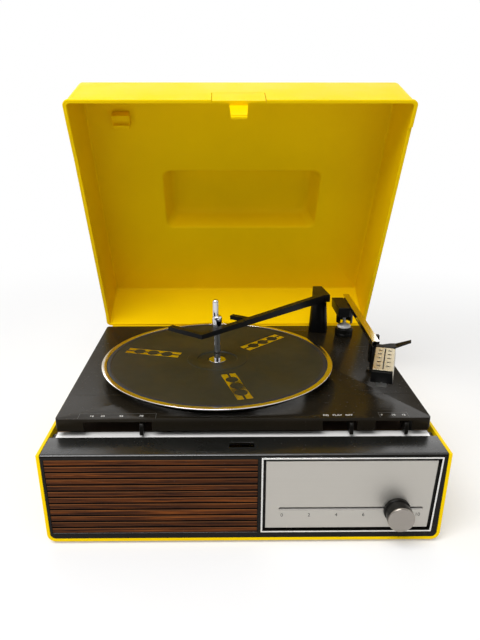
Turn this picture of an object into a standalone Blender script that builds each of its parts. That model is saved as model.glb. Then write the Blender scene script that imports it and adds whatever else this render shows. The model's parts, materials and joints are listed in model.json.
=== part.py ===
"""Portable record player with an autochanger deck, lid open. Metres, +Z up.

The case frame has x = 0 on the middle plane, y = 0 on the front face and z = 0 under the tray.
The whole case hangs on one empty, which is moved so that the model is centred on its own box
and its feet stand on z = 0.
"""
import math

import bmesh
import bpy
from mathutils import Matrix, Vector

# Clearances
GAP = 0.0003            # between pieces that touch
RUN = 0.0003            # around shafts that turn or slide
OVER = 0.002            # how far a cut runs past the face it opens

# Case
CASE_HALF_W = 0.185     # at the rim
CASE_DRAFT = 0.003      # each side leans in by this much down to the underside
CASE_BASE_HALF_W = CASE_HALF_W - CASE_DRAFT
CASE_DEPTH = 0.3485
RIM_H = 0.0905
WALL = 0.003
TRAY_CORNER_R = 0.008
RAIL_W = 0.006
RAIL_H = 0.006
REAR_RIB_T = 0.0030      # rib that stands up inside the shut lid's rear wall
REAR_RIB_TOP = 0.0060    # above the rim
REAR_RIB_FOOT = 0.0050   # below the rim
REAR_RIB_SIDE = 0.0090   # from the case's side
REAR_RIB_GAP = 0.0008    # from the wall's inner face
FOOT_R = 0.008
FOOT_H = 0.003
FOOT_INSET = 0.030
VENT_W = 0.003
VENT_H = 0.022
VENT_PITCH = 0.009
VENT_COUNT = 7
VENT_X = 0.070
VENT_Z = 0.050

# Front fascia
FASCIA_T = 0.0045
POCKET_DEPTH = 0.0030
LEDGE_DEPTH = 0.0325
LEDGE_T = 0.0030
LEDGE_ROUND = 0.0025
STRIP_SHELF_DEPTH = 0.0145
STRIP_T = 0.0016
STRIP_DROP = 0.0022     # top of the strip below the ledge
STRIP_SIDE_GAP = 0.0080
STRIP_HALF_W = CASE_HALF_W - STRIP_SIDE_GAP
LATCH_X = -0.002        # the latch sits a little left of the middle
SLOT_W = 0.0225
SLOT_D = 0.0085
SLOT_Y = 0.0178

# Grille
GRILLE_SIDE = 0.0064    # from the case's side to the grille, at the top
GRILLE_LEAN = 0.0022
GRILLE_TOP_X = GRILLE_SIDE - CASE_HALF_W
GRILLE_BASE_X = GRILLE_TOP_X + GRILLE_LEAN
GRILLE_RIGHT_X = 0.0118
RIB_COUNT = 12
RIB_PITCH = 0.00645
RIB_H = 0.0052
RIB_DEPTH = 0.0022
GRILLE_Z = 0.0093       # lower edge of the lowest rib
GRILLE_FRONT_Y = 0.0004

# Control panel
PANEL_LEFT_X = 0.0152
PANEL_SIDE = 0.0070     # from the case's side to the bezel, at the top
PANEL_LEAN = 0.0047
PANEL_TOP_X = CASE_HALF_W - PANEL_SIDE
PANEL_BASE_X = PANEL_TOP_X - PANEL_LEAN
PANEL_Z0 = 0.0092
PANEL_Z1 = 0.0873
BEZEL_W = 0.0016
BEZEL_FRONT_Y = -0.0006
PANEL_RING_W = 0.0027   # dark ring between bezel and plate
PANEL_FRONT_Y = 0.0006
VOLUME_SLOT_X0 = 0.0316
VOLUME_SLOT_END = 0.0142  # from the bezel's top right corner
VOLUME_SLOT_X1 = PANEL_TOP_X - VOLUME_SLOT_END
VOLUME_SLOT_H = 0.0034
VOLUME_Z = 0.0336

# Volume knob and slide potentiometer
KNOB_BACK = 0.0243      # from the slot's right end, as photographed
KNOB_X = VOLUME_SLOT_X1 - KNOB_BACK
KNOB_R = 0.0124
KNOB_TIER_R = 0.0113
KNOB_FLANGE_T = 0.0034
KNOB_TIER_T = 0.0042
KNOB_STAND_OFF = 0.0007
CAP_R = 0.0121
CAP_T = 0.0086
CAP_ROUND = 0.0009
CAP_DISH = 0.0005
STEM_W = 0.0060
STEM_T = 0.0022
STEM_DEPTH = 0.0130
POT_FRONT_Y = 0.0070
POT_DEPTH = 0.0090
POT_H = 0.0110
POT_END = 0.0060        # pot body past each end of the slot
POT_GROOVE_H = 0.0032
POT_GROOVE_DEPTH = 0.0070

# Deck plate
DECK_SIDE_GAP = 0.0090
DECK_HALF_W = CASE_HALF_W - DECK_SIDE_GAP
DECK_FRONT = 0.0365
DECK_REAR_GAP = 0.0415
DECK_REAR = CASE_DEPTH - DECK_REAR_GAP
DECK_TOP = 0.1073
DECK_SKIRT = 0.0125
DECK_T = 0.0015
DECK_CORNER_R = 0.0032
DECK_ROUND = 0.0010
WELL_R = 0.1105
WELL_DEPTH = 0.0083
NOTCH_H = 0.0092
SPEED_NOTCH_SIDE = 0.0263
SPEED_NOTCH_W = 0.0639
SPEED_NOTCH_X0 = SPEED_NOTCH_SIDE - DECK_HALF_W
SPEED_NOTCH_X1 = SPEED_NOTCH_X0 + SPEED_NOTCH_W
PLAY_NOTCH_SIDE = 0.0690
PLAY_NOTCH_W = 0.0325
PLAY_NOTCH_X1 = DECK_HALF_W - PLAY_NOTCH_SIDE
PLAY_NOTCH_X0 = PLAY_NOTCH_X1 - PLAY_NOTCH_W
SIZE_NOTCH_SIDE = 0.0174
SIZE_NOTCH_W = 0.0344
SIZE_NOTCH_X1 = DECK_HALF_W - SIZE_NOTCH_SIDE
SIZE_NOTCH_X0 = SIZE_NOTCH_X1 - SIZE_NOTCH_W

# Levers
LEVER_T = 0.0036
LEVER_LENGTH = 0.0170
LEVER_REACH = 0.0024    # in front of the deck's face
LEVER_DROP = 0.0036     # below the deck's lower edge
LEVER_NOTCH_GAP = 0.0014
LEVER_SIDE = 0.0056     # right-hand levers, from the end of their notch
SPEED_LEVER_SIDE = 0.0097
SPEED_LEVER_X = SPEED_NOTCH_X1 - SPEED_LEVER_SIDE
PLAY_LEVER_X = PLAY_NOTCH_X1 - LEVER_SIDE
SIZE_LEVER_X = SIZE_NOTCH_X1 - LEVER_SIDE

# Motor board, mounts
BOARD_T = 0.0040
BOARD_TOP = 0.0830
BOARD_FRONT = 0.0500
BOARD_HOLE_MARGIN = 0.0300
BOARD_CORNER_R = 0.0100
MOUNT_R = 0.0070
MOUNT_WAIST_R = 0.0045
MOUNT_INSET = 0.0125

# Platter, mat, hub
SPIN_X = -0.0255
SPIN_Y = 0.1580
PLATTER_R = 0.1270
PLATTER_RIM_TOP = 0.1195
PLATTER_RIM_H = 0.0028
PLATTER_UNDERCUT = 0.0045
PLATTER_ROUND = 0.0010
PLATTER_SHEET_T = 0.0018
MAT_R = 0.1212
MAT_T = 0.0019
MAT_BAND_W = 0.0042     # darker band round the mat's edge
MAT_STEP = 0.0004
MAT_RING_R = 0.0330
MAT_DIP_R = 0.0218
MAT_DIP = 0.0011
MAT_HOLE_R = 0.0103
WINDOW_EDGE = 0.0130    # from the mat's edge
WINDOW_L = 0.0640
WINDOW_R1 = MAT_R - WINDOW_EDGE
WINDOW_R0 = WINDOW_R1 - WINDOW_L
WINDOW_W = 0.0162
WINDOW_DISC_R = 0.0070
WINDOW_DISC_PITCH = 0.0165
WINDOW_STRIP_W = 0.0020
WINDOW_ANGLES = (45.0, 165.0, 285.0)
DRIVE_RIM_R = 0.1040
DRIVE_RIM_T = 0.0030
DRIVE_RIM_LIFT = 0.0015  # above the well's floor
HUB_R = 0.0130
HUB_LIFT = 0.0045
WASHER_R = 0.0095
WASHER_T = 0.0008
BEARING_R = 0.0100
BEARING_BORE_R = 0.0046

# Spindle
SPINDLE_R = 0.0036
SPINDLE_FOOT = 0.0180   # length below the well's floor
SPINDLE_FLANGE_R = 0.0100
SPINDLE_FLANGE_T = 0.0040
SHELF_R = 0.0053
SHELF_Z = 0.1555
SHELF_H = 0.0140
TIP_R = 0.0031
TIP_SHIFT = 0.0016
TIP_TOP = 0.1880

# Idler and motor
IDLER_R = 0.0190
TYRE_W = 0.0026
TYRE_T = 0.0032
IDLER_DISC_T = 0.0022
IDLER_LIFT = 0.0018     # tyre above the well's floor
IDLER_BORE_R = 0.0018
IDLER_ANGLE = 118.0
PULLEY_ANGLE = 112.0    # from the line platter to idler
PULLEY_RADII = (0.0047, 0.0027, 0.0020, 0.0013)
PULLEY_STEP_H = 0.0035
PULLEY_LIFT = 0.0015
ARM_T = 0.0010
ARM_W = 0.0080
ARM_PIN_R = 0.0020
ARM_PIN_DROP = 0.0130
MOTOR_SHAFT_R = 0.0011
STATOR_W = 0.0560
STATOR_D = 0.0460
STATOR_T = 0.0140
STATOR_TOP = 0.0840
STATOR_BORE_R = 0.0125
STATOR_FRAME = 0.0090
ROTOR_R = 0.0118
COIL_W = 0.0300
COIL_T = 0.0240
COIL_ROUND = 0.0030
BRACKET_T = 0.0020
BRACKET_POST_R = 0.0040

# Speaker (oval, behind the grille)
SPEAKER_X = -0.0830
SPEAKER_Z = 0.0480
SPEAKER_HALF_W = 0.0600
SPEAKER_HALF_H = 0.0370
SPEAKER_FLANGE_T = 0.0020
BASKET_DEPTH = 0.0220
BASKET_R = 0.0240
BASKET_T = 0.0016
CONE_SHARE = 0.86       # share of the frame's half sizes
CONE_DEPTH = 0.0140
CONE_NECK_R = 0.0090
CONE_T = 0.0012
MAGNET_R = 0.0210
MAGNET_T = 0.0120

# Amplifier
AMP_SIDE = 0.0350       # from the case's side
AMP_W = 0.1100
AMP_X1 = CASE_HALF_W - AMP_SIDE
AMP_X0 = AMP_X1 - AMP_W
AMP_Y0 = 0.0600
AMP_Y1 = 0.1200
AMP_T = 0.0016
AMP_Z = 0.0110
STANDOFF_R = 0.0035
STANDOFF_INSET = 0.0060
CAN_R = 0.0090
CAN_H = 0.0320

# Cord gland in the rear wall
GLAND_X = -0.1200
GLAND_Z = 0.0280
GLAND_R = 0.0065
GLAND_FLANGE_R = 0.0095
GLAND_FLANGE_T = 0.0025
GLAND_BORE_R = 0.0026

# Latch keeper
KEEPER_T = 0.0016
KEEPER_H = 0.0220
KEEPER_W = 0.0260

# Overarm
OVERARM_SIDE = 0.0695   # from the deck's right edge
OVERARM_BACK = 0.0190   # from the deck's rear edge
OVERARM_X = DECK_HALF_W - OVERARM_SIDE
OVERARM_Y = DECK_REAR - OVERARM_BACK
POST_BASE_R = 0.0124
POST_TOP_R = 0.0095
POST_TOP = 0.1522
SHAFT_R = 0.0030
SHAFT_FOOT_LIFT = 0.0120
BAR_W = 0.0070
HEAD_T = 0.0092
# Corners of the head round the shaft's axis, from its left side round its front
HEAD_OUTLINE = ((-0.0109, -0.0108), (-0.0094, -0.0240), (0.0020, -0.0208), (0.0106, -0.0200),
                (0.0064, 0.0235), (-0.0054, 0.0235))
BAR_START = 0.0185      # in front of the shaft
KNEE_LEFT = 0.0155      # from the platter's axis
KNEE_FRONT = 0.0368
BAR_END_LEFT = 0.0503
BAR_END_FRONT = 0.0108
BAR_LINE = ((OVERARM_X, OVERARM_Y - BAR_START), (SPIN_X - KNEE_LEFT, SPIN_Y - KNEE_FRONT),
            (SPIN_X - BAR_END_LEFT, SPIN_Y - BAR_END_FRONT))
BAR_DEPTHS = (0.0092, 0.0050, 0.0045)
PRONG_SHARE = 0.65      # of the way from the bar's start to its knee
PRONG_TIP_RIGHT = 0.0162
PRONG_TIP_BACK = 0.0276
PRONG_LINE = ((OVERARM_X + (BAR_LINE[1][0] - OVERARM_X) * PRONG_SHARE,
               BAR_LINE[0][1] + (BAR_LINE[1][1] - BAR_LINE[0][1]) * PRONG_SHARE),
              (SPIN_X + PRONG_TIP_RIGHT, SPIN_Y + PRONG_TIP_BACK))
PRONG_DEPTHS = (0.0045, 0.0045)
ARM_EDGE = 0.0006

# Tonearm
ARM_SIDE = 0.0390       # from the deck's right edge
ARM_BACK = 0.0390       # from the deck's rear edge
ARM_X = DECK_HALF_W - ARM_SIDE
ARM_Y = DECK_REAR - ARM_BACK
ARM_BASE_R = 0.0113
ARM_BASE_H = 0.0112
COLLAR_R = 0.0085
COLLAR_T = 0.0028
COLLAR_CONE_H = 0.0030
ARM_SHAFT_R = 0.0020
PIVOT_TOP = 0.1400
# The turret's block, the tube and the headshell are placed from the pivot's axis
YOKE_LEFT = 0.0133
YOKE_RIGHT = 0.0012
YOKE_FRONT = 0.0265
YOKE_REAR = 0.0228
YOKE_TOP = 0.1520
YOKE_T = 0.0121
YOKE_EDGE = 0.0005
TURRET_R = 0.0104
TURRET_WALL = 0.0022
TURRET_LOW = 0.1256        # lower edge of the skirt
TURRET_ROOF = 0.1350       # top of the space inside the skirt
TURRET_TOP = 0.1450
TURRET_WINDOW_W = 0.0128
TUBE_RIGHT = 0.0054
TUBE_W = 0.0076
TUBE_H = 0.0062
TUBE_WALL = 0.0008
TUBE_REAR = 0.0255
TUBE_REAR_Z = 0.1527
TUBE_FRONT = 0.1415
TUBE_FRONT_Z = 0.1474
LIFT_Z = 0.1485
LIFT_BUSH_R = 0.0030
SHELL_RIGHT = 0.0140    # middle of the headshell's rear top edge
SHELL_FRONT = 0.1485
SHELL_Z = 0.1476
SHELL_TURN = -17.6
SHELL_TILT = 11.0
SHELL_W = 0.0202
SHELL_L = 0.0487
SHELL_H = 0.0138
SHELL_WALL = 0.0018
SHELL_FLARE = 0.0008    # each side, from the top down
TONGUE_W = 0.0080       # rear tongue under the tube's end
TONGUE_L = 0.0058
TONGUE_Z = (-0.0078, -0.0050)
COVER_T = 0.0008
COVER_W = 0.0194
COVER_FRONT = 0.0026    # behind the headshell's front
COVER_REAR = 0.0030     # in front of the headshell's rear
COVER_L = SHELL_L - COVER_FRONT - COVER_REAR
COVER_SIDE_H = 0.0120
COVER_BRIDGE = 0.0012
COVER_SLOT_W = 0.0012
VENT_ROWS = 5
OVAL_W = 0.0047
OVAL_H = 0.0022
OVAL_FIRST = 0.0080     # from the cover's front edge
OVAL_LAST = 0.0055      # from its rear edge
OVAL_PITCH = (COVER_L - OVAL_FIRST - OVAL_LAST) / (VENT_ROWS - 1)
OVAL_SPREAD = 0.0048
CARTRIDGE_W = 0.0140
CARTRIDGE_L = 0.0200
CARTRIDGE_H = 0.0121
CARTRIDGE_BACK = 0.0035  # behind the headshell's front
STYLUS_GROOVE_R = 0.0032
STYLUS_R = 0.0008
STYLUS_NEEDLE_R = 0.0004
STYLUS_NEEDLE_H = 0.0026
STYLUS_DROP = 0.0140    # axis below the headshell's top
TAB_W = 0.0104
TAB_T = 0.0014
TAB_L = 0.0050
FINGER_T = 0.0014
# Finger lift from the headshell's left side to its tip, round the headshell's frame
FINGER_LINE = ((-0.0098, 0.0000), (-0.0030, 0.0000), (0.0050, 0.0020), (0.0101, 0.0022), (0.0250, 0.0028))
FINGER_WIDTHS = (0.0050, 0.0050, 0.0088, 0.0088, 0.0055)
FINGER_TOPS = (0.0006, 0.0006, 0.0006, 0.0010, 0.0078)
REST_RIGHT = 0.0095     # from the arm's pivot
REST_FRONT = 0.1180
REST_X = ARM_X + REST_RIGHT
REST_Y = ARM_Y - REST_FRONT
REST_R = 0.0032
REST_FOOT_R = 0.0060
REST_FOOT_T = 0.0020
REST_SHELF_W = 0.0100
REST_SHELF_T = 0.0030
REST_D = 0.0050
REST_LIP_H = 0.0050
REST_TAIL_H = 0.0262

# Lid, in its closed frame: u runs forward from the hinge axis, n up from the rim's plane
HINGE_BACK = 0.0035     # axis behind the rear wall
HINGE_Y = CASE_DEPTH + HINGE_BACK
HINGE_Z = RIM_H + GAP   # so the shut lid clears the rim
LID_OPEN = 62.0
LID_DRAFT = 0.0010
LID_HALF_W = CASE_HALF_W - LID_DRAFT
LID_TOP_HALF_W = LID_HALF_W - LID_DRAFT
LID_REAR_U = 0.0035
LID_REAR_TOP_U = 0.0045
LID_FRONT_Y = 0.0115    # shut, from the case's front to the lid's front wall
LID_FRONT_LEAN = 0.0140
LID_FRONT_U = HINGE_Y - LID_FRONT_Y
LID_FRONT_TOP_U = LID_FRONT_U - LID_FRONT_LEAN
LID_H = 0.0755
LID_ROUND = 0.0045
BEAD_W = 0.0010
BEAD_H = 0.0040
RIM_STEP = 0.0030
RIM_STEP_BACK = 0.0310
RIM_STEP_U = LID_FRONT_U - RIM_STEP_BACK
RECESS_X = 0.0055
RECESS_HALF_W = 0.1000
RECESS_FLOOR_HALF_W = 0.0900
RECESS_U0 = 0.1233
RECESS_U1 = 0.2105
RECESS_FLOOR_U0 = 0.1290
RECESS_FLOOR_U1 = 0.2000
RECESS_DEPTH = 0.0290
RECESS_ROUND = 0.0070
LATCH_W = 0.0560
LATCH_H = 0.0290
LATCH_T = 0.0026
LATCH_SIDE_GAP = 0.0008
TAB_TOP_W = 0.0196
TAB_END_W = 0.0164
LATCH_TAB_L = 0.0250
LATCH_TAB_T = 0.0024
LATCH_TAB_BACK = 0.0063
LATCH_TAB_U = LID_FRONT_U - LATCH_TAB_BACK
LATCH_RIDGE_H = 0.0012
LATCH_RIDGE_N = -0.0205
CLIP_SIDE = 0.0460      # from the lid's left side
CLIP_BACK = 0.0565      # from the lid's front wall
CLIP_X = CLIP_SIDE - LID_HALF_W
CLIP_U = LID_FRONT_U - CLIP_BACK
CLIP_W = 0.0200
CLIP_L = 0.0170
CLIP_H = 0.0120
CLIP_GROOVE_R = 0.0040

# Hinges
HINGE_X = 0.1100
HINGE_LEAF_W = 0.0300
HINGE_LEAF_T = 0.0012
HINGE_LEAF_H = 0.0200
HINGE_BARREL_R = 0.0030
HINGE_PIN_R = 0.0013
HINGE_KNUCKLE_W = 0.0096


def new_collection(name):
    """Make a collection under the scene."""
    group = bpy.data.collections.new(name)
    bpy.context.scene.collection.children.link(group)
    return group


for old in list(bpy.data.objects):
    bpy.data.objects.remove(old, do_unlink=True)

PARTS = new_collection("portable_record_player")
CUTTERS = new_collection("cutters")


def new_empty(name, parent, place=(0.0, 0.0, 0.0), turn=(0.0, 0.0, 0.0)):
    """An axis or frame that other pieces hang on."""
    empty = bpy.data.objects.new(name, None)
    empty.empty_display_size = FOOT_INSET
    PARTS.objects.link(empty)
    empty.parent = parent
    empty.location = place
    empty.rotation_euler = [math.radians(angle) for angle in turn]
    return empty


def new_material(name, colour, roughness, metallic=0.0):
    """One Principled material for a sub-part's finish."""
    made = bpy.data.materials.new(name)
    made.use_nodes = True
    shader = made.node_tree.nodes["Principled BSDF"]
    shader.inputs["Base Color"].default_value = (*colour, 1.0)
    shader.inputs["Roughness"].default_value = roughness
    shader.inputs["Metallic"].default_value = metallic
    made.diffuse_color = (*colour, 1.0)
    return made


YELLOW = new_material("yellow_case", (0.75, 0.56, 0.015), 0.38)
BLACK = new_material("black_moulding", (0.022, 0.022, 0.022), 0.45)
DECK_BLACK = new_material("black_deck_paint", (0.020, 0.019, 0.017), 0.42)
WOOD = new_material("wood_grille", (0.12, 0.028, 0.010), 0.45)
BRUSHED = new_material("brushed_aluminium", (0.62, 0.62, 0.62), 0.35, 1.0)
POLISHED = new_material("polished_aluminium", (0.80, 0.79, 0.77), 0.12, 1.0)
CHROME = new_material("chrome", (0.78, 0.78, 0.80), 0.10, 1.0)
MAT_RUBBER = new_material("mat_rubber", (0.032, 0.027, 0.016), 0.55)
BLACK_RUBBER = new_material("black_rubber", (0.02, 0.02, 0.02), 0.8)
STEEL = new_material("plated_steel", (0.50, 0.50, 0.48), 0.35, 1.0)
COPPER = new_material("varnished_copper", (0.45, 0.16, 0.06), 0.35, 0.6)
PAPER = new_material("speaker_paper", (0.06, 0.055, 0.05), 0.9)
FERRITE = new_material("ferrite", (0.06, 0.06, 0.065), 0.7)
CIRCUIT = new_material("circuit_board", (0.28, 0.17, 0.07), 0.6)
HARDBOARD = new_material("hardboard", (0.10, 0.06, 0.035), 0.85)


def finish(piece, name, parent, material, smooth=True):
    """Name a piece, hang it on its parent and give it its material."""
    piece.name = name
    piece.data.name = name
    for group in list(piece.users_collection):
        group.objects.unlink(piece)
    PARTS.objects.link(piece)
    piece.parent = parent
    piece.data.materials.clear()
    piece.data.materials.append(material)
    if smooth:
        piece.data.shade_smooth()
        piece.data.set_sharp_from_angle(angle=math.radians(35.0))
    return piece


def object_from(mesh_data, build):
    """Run a bmesh build into fresh mesh data and wrap it in an object."""
    shape = bmesh.new()
    build(shape)
    shape.to_mesh(mesh_data)
    shape.free()
    piece = bpy.data.objects.new(mesh_data.name, mesh_data)
    CUTTERS.objects.link(piece)
    return piece


def block(x, y, z):
    """A box between three pairs of limits, with its origin at its middle."""
    size = (x[1] - x[0], y[1] - y[0], z[1] - z[0])
    middle = ((x[0] + x[1]) / 2, (y[0] + y[1]) / 2, (z[0] + z[1]) / 2)

    def build(shape):
        bmesh.ops.create_cube(shape, size=1.0)
        bmesh.ops.scale(shape, vec=size, verts=shape.verts)

    piece = object_from(bpy.data.meshes.new("block"), build)
    piece.location = middle
    return piece


def draft_block(x, y, z, top_x, top_y):
    """A box whose top face has its own limits, as a moulding with draft has."""
    piece = block(x, y, z)
    middle = piece.location.copy()
    for vertex in piece.data.vertices:
        if vertex.co.z > 0.0:
            vertex.co.x = (top_x[1] if vertex.co.x > 0.0 else top_x[0]) - middle.x
            vertex.co.y = (top_y[1] if vertex.co.y > 0.0 else top_y[0]) - middle.y
    return piece


def bevel(piece, width, segments=3):
    """Round the sharp edges of a piece."""
    edge = piece.modifiers.new("edges", "BEVEL")
    edge.width = width
    edge.segments = segments
    edge.limit_method = "ANGLE"
    edge.angle_limit = math.radians(40.0)
    return piece


def rounded(corners, steps=5):
    """Points of an outline from (a, b, radius) corners: each corner is an arc tangent to both sides."""
    points = []
    count = len(corners)
    for index, (a, b, radius) in enumerate(corners):
        here = Vector((a, b))
        if radius <= 0.0:
            points.append(here)
            continue
        before = (Vector(corners[index - 1][:2]) - here).normalized()
        after = (Vector(corners[(index + 1) % count][:2]) - here).normalized()
        half = before.angle(after) / 2
        centre = here + (before + after).normalized() * (radius / math.sin(half))
        start = here + before * (radius / math.tan(half)) - centre
        end = here + after * (radius / math.tan(half)) - centre
        sweep = start.angle_signed(end)
        for step in range(steps + 1):
            turn = Matrix.Rotation(-sweep * step / steps, 2)
            points.append(centre + turn @ start)
    return points


def rectangle(a, b, radius=0.0, steps=5):
    """A rectangle outline between two pairs of limits."""
    corners = [(a[0], b[0], radius), (a[1], b[0], radius), (a[1], b[1], radius), (a[0], b[1], radius)]
    return rounded(corners, steps)


def circle(a, b, radius, steps=24, half_b=None):
    """A circle, or an ellipse with its own half height."""
    high = radius if half_b is None else half_b
    turns = [2 * math.pi * step / steps for step in range(steps)]
    return [Vector((a + radius * math.cos(t), b + high * math.sin(t))) for t in turns]


def plate(outlines, low, high, axis="Z"):
    """A flat 2D curve filled and extruded between two heights along an axis.

    Outlines are (x, y) for Z, (x, z) for Y and (y, z) for X. Inner outlines are holes.
    """
    curve = bpy.data.curves.new("plate", "CURVE")
    curve.dimensions = "2D"
    curve.fill_mode = "BOTH"
    curve.extrude = (high - low) / 2
    for outline in outlines:
        spline = curve.splines.new("POLY")
        spline.points.add(len(outline) - 1)
        for point, place in zip(spline.points, outline):
            point.co = (place[0], place[1], 0.0, 1.0)
        spline.use_cyclic_u = True
    flat = bpy.data.objects.new("plate", curve)
    CUTTERS.objects.link(flat)
    middle = (low + high) / 2
    if axis == "Y":
        flat.matrix_world = Matrix.Translation((0.0, middle, 0.0)) @ Matrix.Rotation(math.pi / 2, 4, "X")
    elif axis == "X":
        turn = Matrix.Rotation(math.pi / 2, 4, "Z") @ Matrix.Rotation(math.pi / 2, 4, "X")
        flat.matrix_world = Matrix.Translation((middle, 0.0, 0.0)) @ turn
    else:
        flat.matrix_world = Matrix.Translation((0.0, 0.0, middle))
    return meshed(flat)


def meshed(curve_object):
    """Turn a curve object into a mesh object with welded caps, at the same place."""
    bpy.context.view_layer.update()
    evaluated = curve_object.evaluated_get(bpy.context.evaluated_depsgraph_get())
    data = bpy.data.meshes.new_from_object(evaluated)
    shape = bmesh.new()
    shape.from_mesh(data)
    bmesh.ops.remove_doubles(shape, verts=shape.verts, dist=0.00001)
    bmesh.ops.recalc_face_normals(shape, faces=shape.faces)
    shape.to_mesh(data)
    shape.free()
    piece = bpy.data.objects.new("meshed", data)
    CUTTERS.objects.link(piece)
    piece.matrix_world = curve_object.matrix_world
    bpy.data.objects.remove(curve_object, do_unlink=True)
    return piece


def turned(profile, steps=32, place=(0.0, 0.0, 0.0), closed=False):
    """A turned piece: (radius, height) points from the top down the outer side, spun about Z."""
    data = bpy.data.meshes.new("turned")
    count = len(profile)
    pairs = [(index, index + 1) for index in range(count - 1)]
    if closed:
        pairs.append((count - 1, 0))
    data.from_pydata([(radius, 0.0, height) for radius, height in profile], pairs, [])
    piece = bpy.data.objects.new("turned", data)
    CUTTERS.objects.link(piece)
    spin = piece.modifiers.new("spin", "SCREW")
    spin.axis = "Z"
    spin.steps = steps
    spin.render_steps = steps
    spin.use_merge_vertices = True
    spin.merge_threshold = 0.00001
    spin.use_normal_calculate = False
    piece.location = place
    return piece


def rod(radius, low, high, steps=24, place=(0.0, 0.0, 0.0)):
    """A plain round bar along Z between two heights."""
    return turned([(0.0, high), (radius, high), (radius, low), (0.0, low)], steps, place)


def tube_ring(outer, inner, low, high, steps=32, place=(0.0, 0.0, 0.0)):
    """A plain ring along Z."""
    loop = [(inner, high), (outer, high), (outer, low), (inner, low)]
    return turned(loop, steps, place, closed=True)


def lay(piece, axis):
    """Turn a piece made along Z so that its top points along -Y or +X."""
    if axis == "-Y":
        piece.rotation_euler = (math.pi / 2, 0.0, 0.0)
    if axis == "+X":
        piece.rotation_euler = (0.0, math.pi / 2, 0.0)
    return piece


def apply_boolean(piece, tool, operation):
    """Give a piece a boolean with a tool that hangs on the same parent, and keep the tool as a cutter."""
    tool.parent = piece.parent
    tool.display_type = "WIRE"
    tool.hide_render = True
    step = piece.modifiers.new(operation.lower(), "BOOLEAN")
    step.operation = operation
    step.solver = "EXACT"
    step.object = tool
    return piece


def cut(piece, *tools):
    """Take tools away from a piece."""
    for tool in tools:
        apply_boolean(piece, tool, "DIFFERENCE")
    return piece


def join(piece, *tools):
    """Unite tools with a piece."""
    for tool in tools:
        apply_boolean(piece, tool, "UNION")
    return piece


def half_width(height):
    """Outer half width of the drafted case at a height."""
    share = height / RIM_H
    return CASE_BASE_HALF_W + (CASE_HALF_W - CASE_BASE_HALF_W) * share


def trough(inset, top, radius):
    """The case's front outline, moved in by an inset: open-topped with round lower corners."""
    low = half_width(inset) - inset
    high = half_width(top) - inset
    return rounded([(-low, inset, radius), (low, inset, radius), (high, top, 0.0), (-high, top, 0.0)])


CASE = new_empty("case_frame", None)


def make_tray():
    """Yellow base tray: drafted walls, open front, board rails, rear rib, foot and board bosses."""
    tray = plate([trough(0.0, RIM_H, TRAY_CORNER_R)], 0.0, CASE_DEPTH, "Y")
    inside = plate([trough(WALL, RIM_H + OVER, TRAY_CORNER_R - WALL)], -OVER, CASE_DEPTH - WALL, "Y")
    finish(tray, "base_tray", CASE, YELLOW)
    cut(tray, inside)
    rail_top = BOARD_TOP - BOARD_T - GAP
    for side in (-1, 1):
        wall_x = half_width(rail_top) - WALL
        edges = sorted((side * (wall_x - RAIL_W), side * (wall_x + WALL / 2)))
        rail = block(edges, (BOARD_FRONT, CASE_DEPTH - WALL / 2), (rail_top - RAIL_H, rail_top))
        join(tray, rail)
    wall_y = CASE_DEPTH - WALL
    rib_low = RIM_H - REAR_RIB_FOOT
    rib_rear = wall_y - REAR_RIB_GAP
    inside_wall = wall_y + WALL / 2
    rib_top = RIM_H + REAR_RIB_TOP
    rib = [(rib_rear - REAR_RIB_T, rib_low), (inside_wall, rib_low), (inside_wall, RIM_H - WALL / 2),
           (rib_rear, RIM_H - WALL / 2), (rib_rear, rib_top), (rib_rear - REAR_RIB_T, rib_top)]
    reach = CASE_HALF_W - REAR_RIB_SIDE
    join(tray, plate([rib], -reach, reach, "X"))
    for x in (AMP_X0 + STANDOFF_INSET, AMP_X1 - STANDOFF_INSET):
        for y in (AMP_Y0 + STANDOFF_INSET, AMP_Y1 - STANDOFF_INSET):
            join(tray, rod(STANDOFF_R, WALL / 2, AMP_Z - GAP, 12, (x, y, 0.0)))
    for index in range(VENT_COUNT):
        x = VENT_X + index * VENT_PITCH
        low = VENT_Z - VENT_H / 2
        vent = block((x, x + VENT_W), (CASE_DEPTH - WALL - OVER, CASE_DEPTH + OVER), (low, low + VENT_H))
        cut(tray, vent)
    bore = lay(rod(GLAND_R + GAP, -WALL - OVER, OVER, 24), "-Y")
    bore.location = (GLAND_X, CASE_DEPTH, GLAND_Z)
    bore.rotation_euler = (-math.pi / 2, 0.0, 0.0)
    cut(tray, bore)
    return tray


def make_feet():
    """Four rubber feet under the tray."""
    spread_x = CASE_BASE_HALF_W - FOOT_INSET
    places = [(side * spread_x, y) for y in (FOOT_INSET, CASE_DEPTH - FOOT_INSET) for side in (-1, 1)]
    names = ("foot_front_left", "foot_front_right", "foot_rear_left", "foot_rear_right")
    for name, (x, y) in zip(names, places):
        foot = tube_ring(FOOT_R, FOOT_R / 4, -FOOT_H, -GAP, 24, (x, y, 0.0))
        finish(foot, name, CASE, BLACK_RUBBER)


def make_gland():
    """Strain relief bush in the rear wall, with its flange outside."""
    lead = CASE_DEPTH + GAP
    loop = [(GLAND_BORE_R, GLAND_FLANGE_T), (GLAND_FLANGE_R, GLAND_FLANGE_T), (GLAND_FLANGE_R, 0.0),
            (GLAND_R, 0.0), (GLAND_R, -WALL - GLAND_FLANGE_T), (GLAND_BORE_R, -WALL - GLAND_FLANGE_T)]
    gland = turned(loop, 24, (GLAND_X, lead, GLAND_Z), closed=True)
    gland.rotation_euler = (-math.pi / 2, 0.0, 0.0)
    finish(gland, "cord_gland", CASE, BLACK)


STRIP_TOP = RIM_H - STRIP_DROP
SHELF_TOP = STRIP_TOP - STRIP_T - GAP


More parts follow.
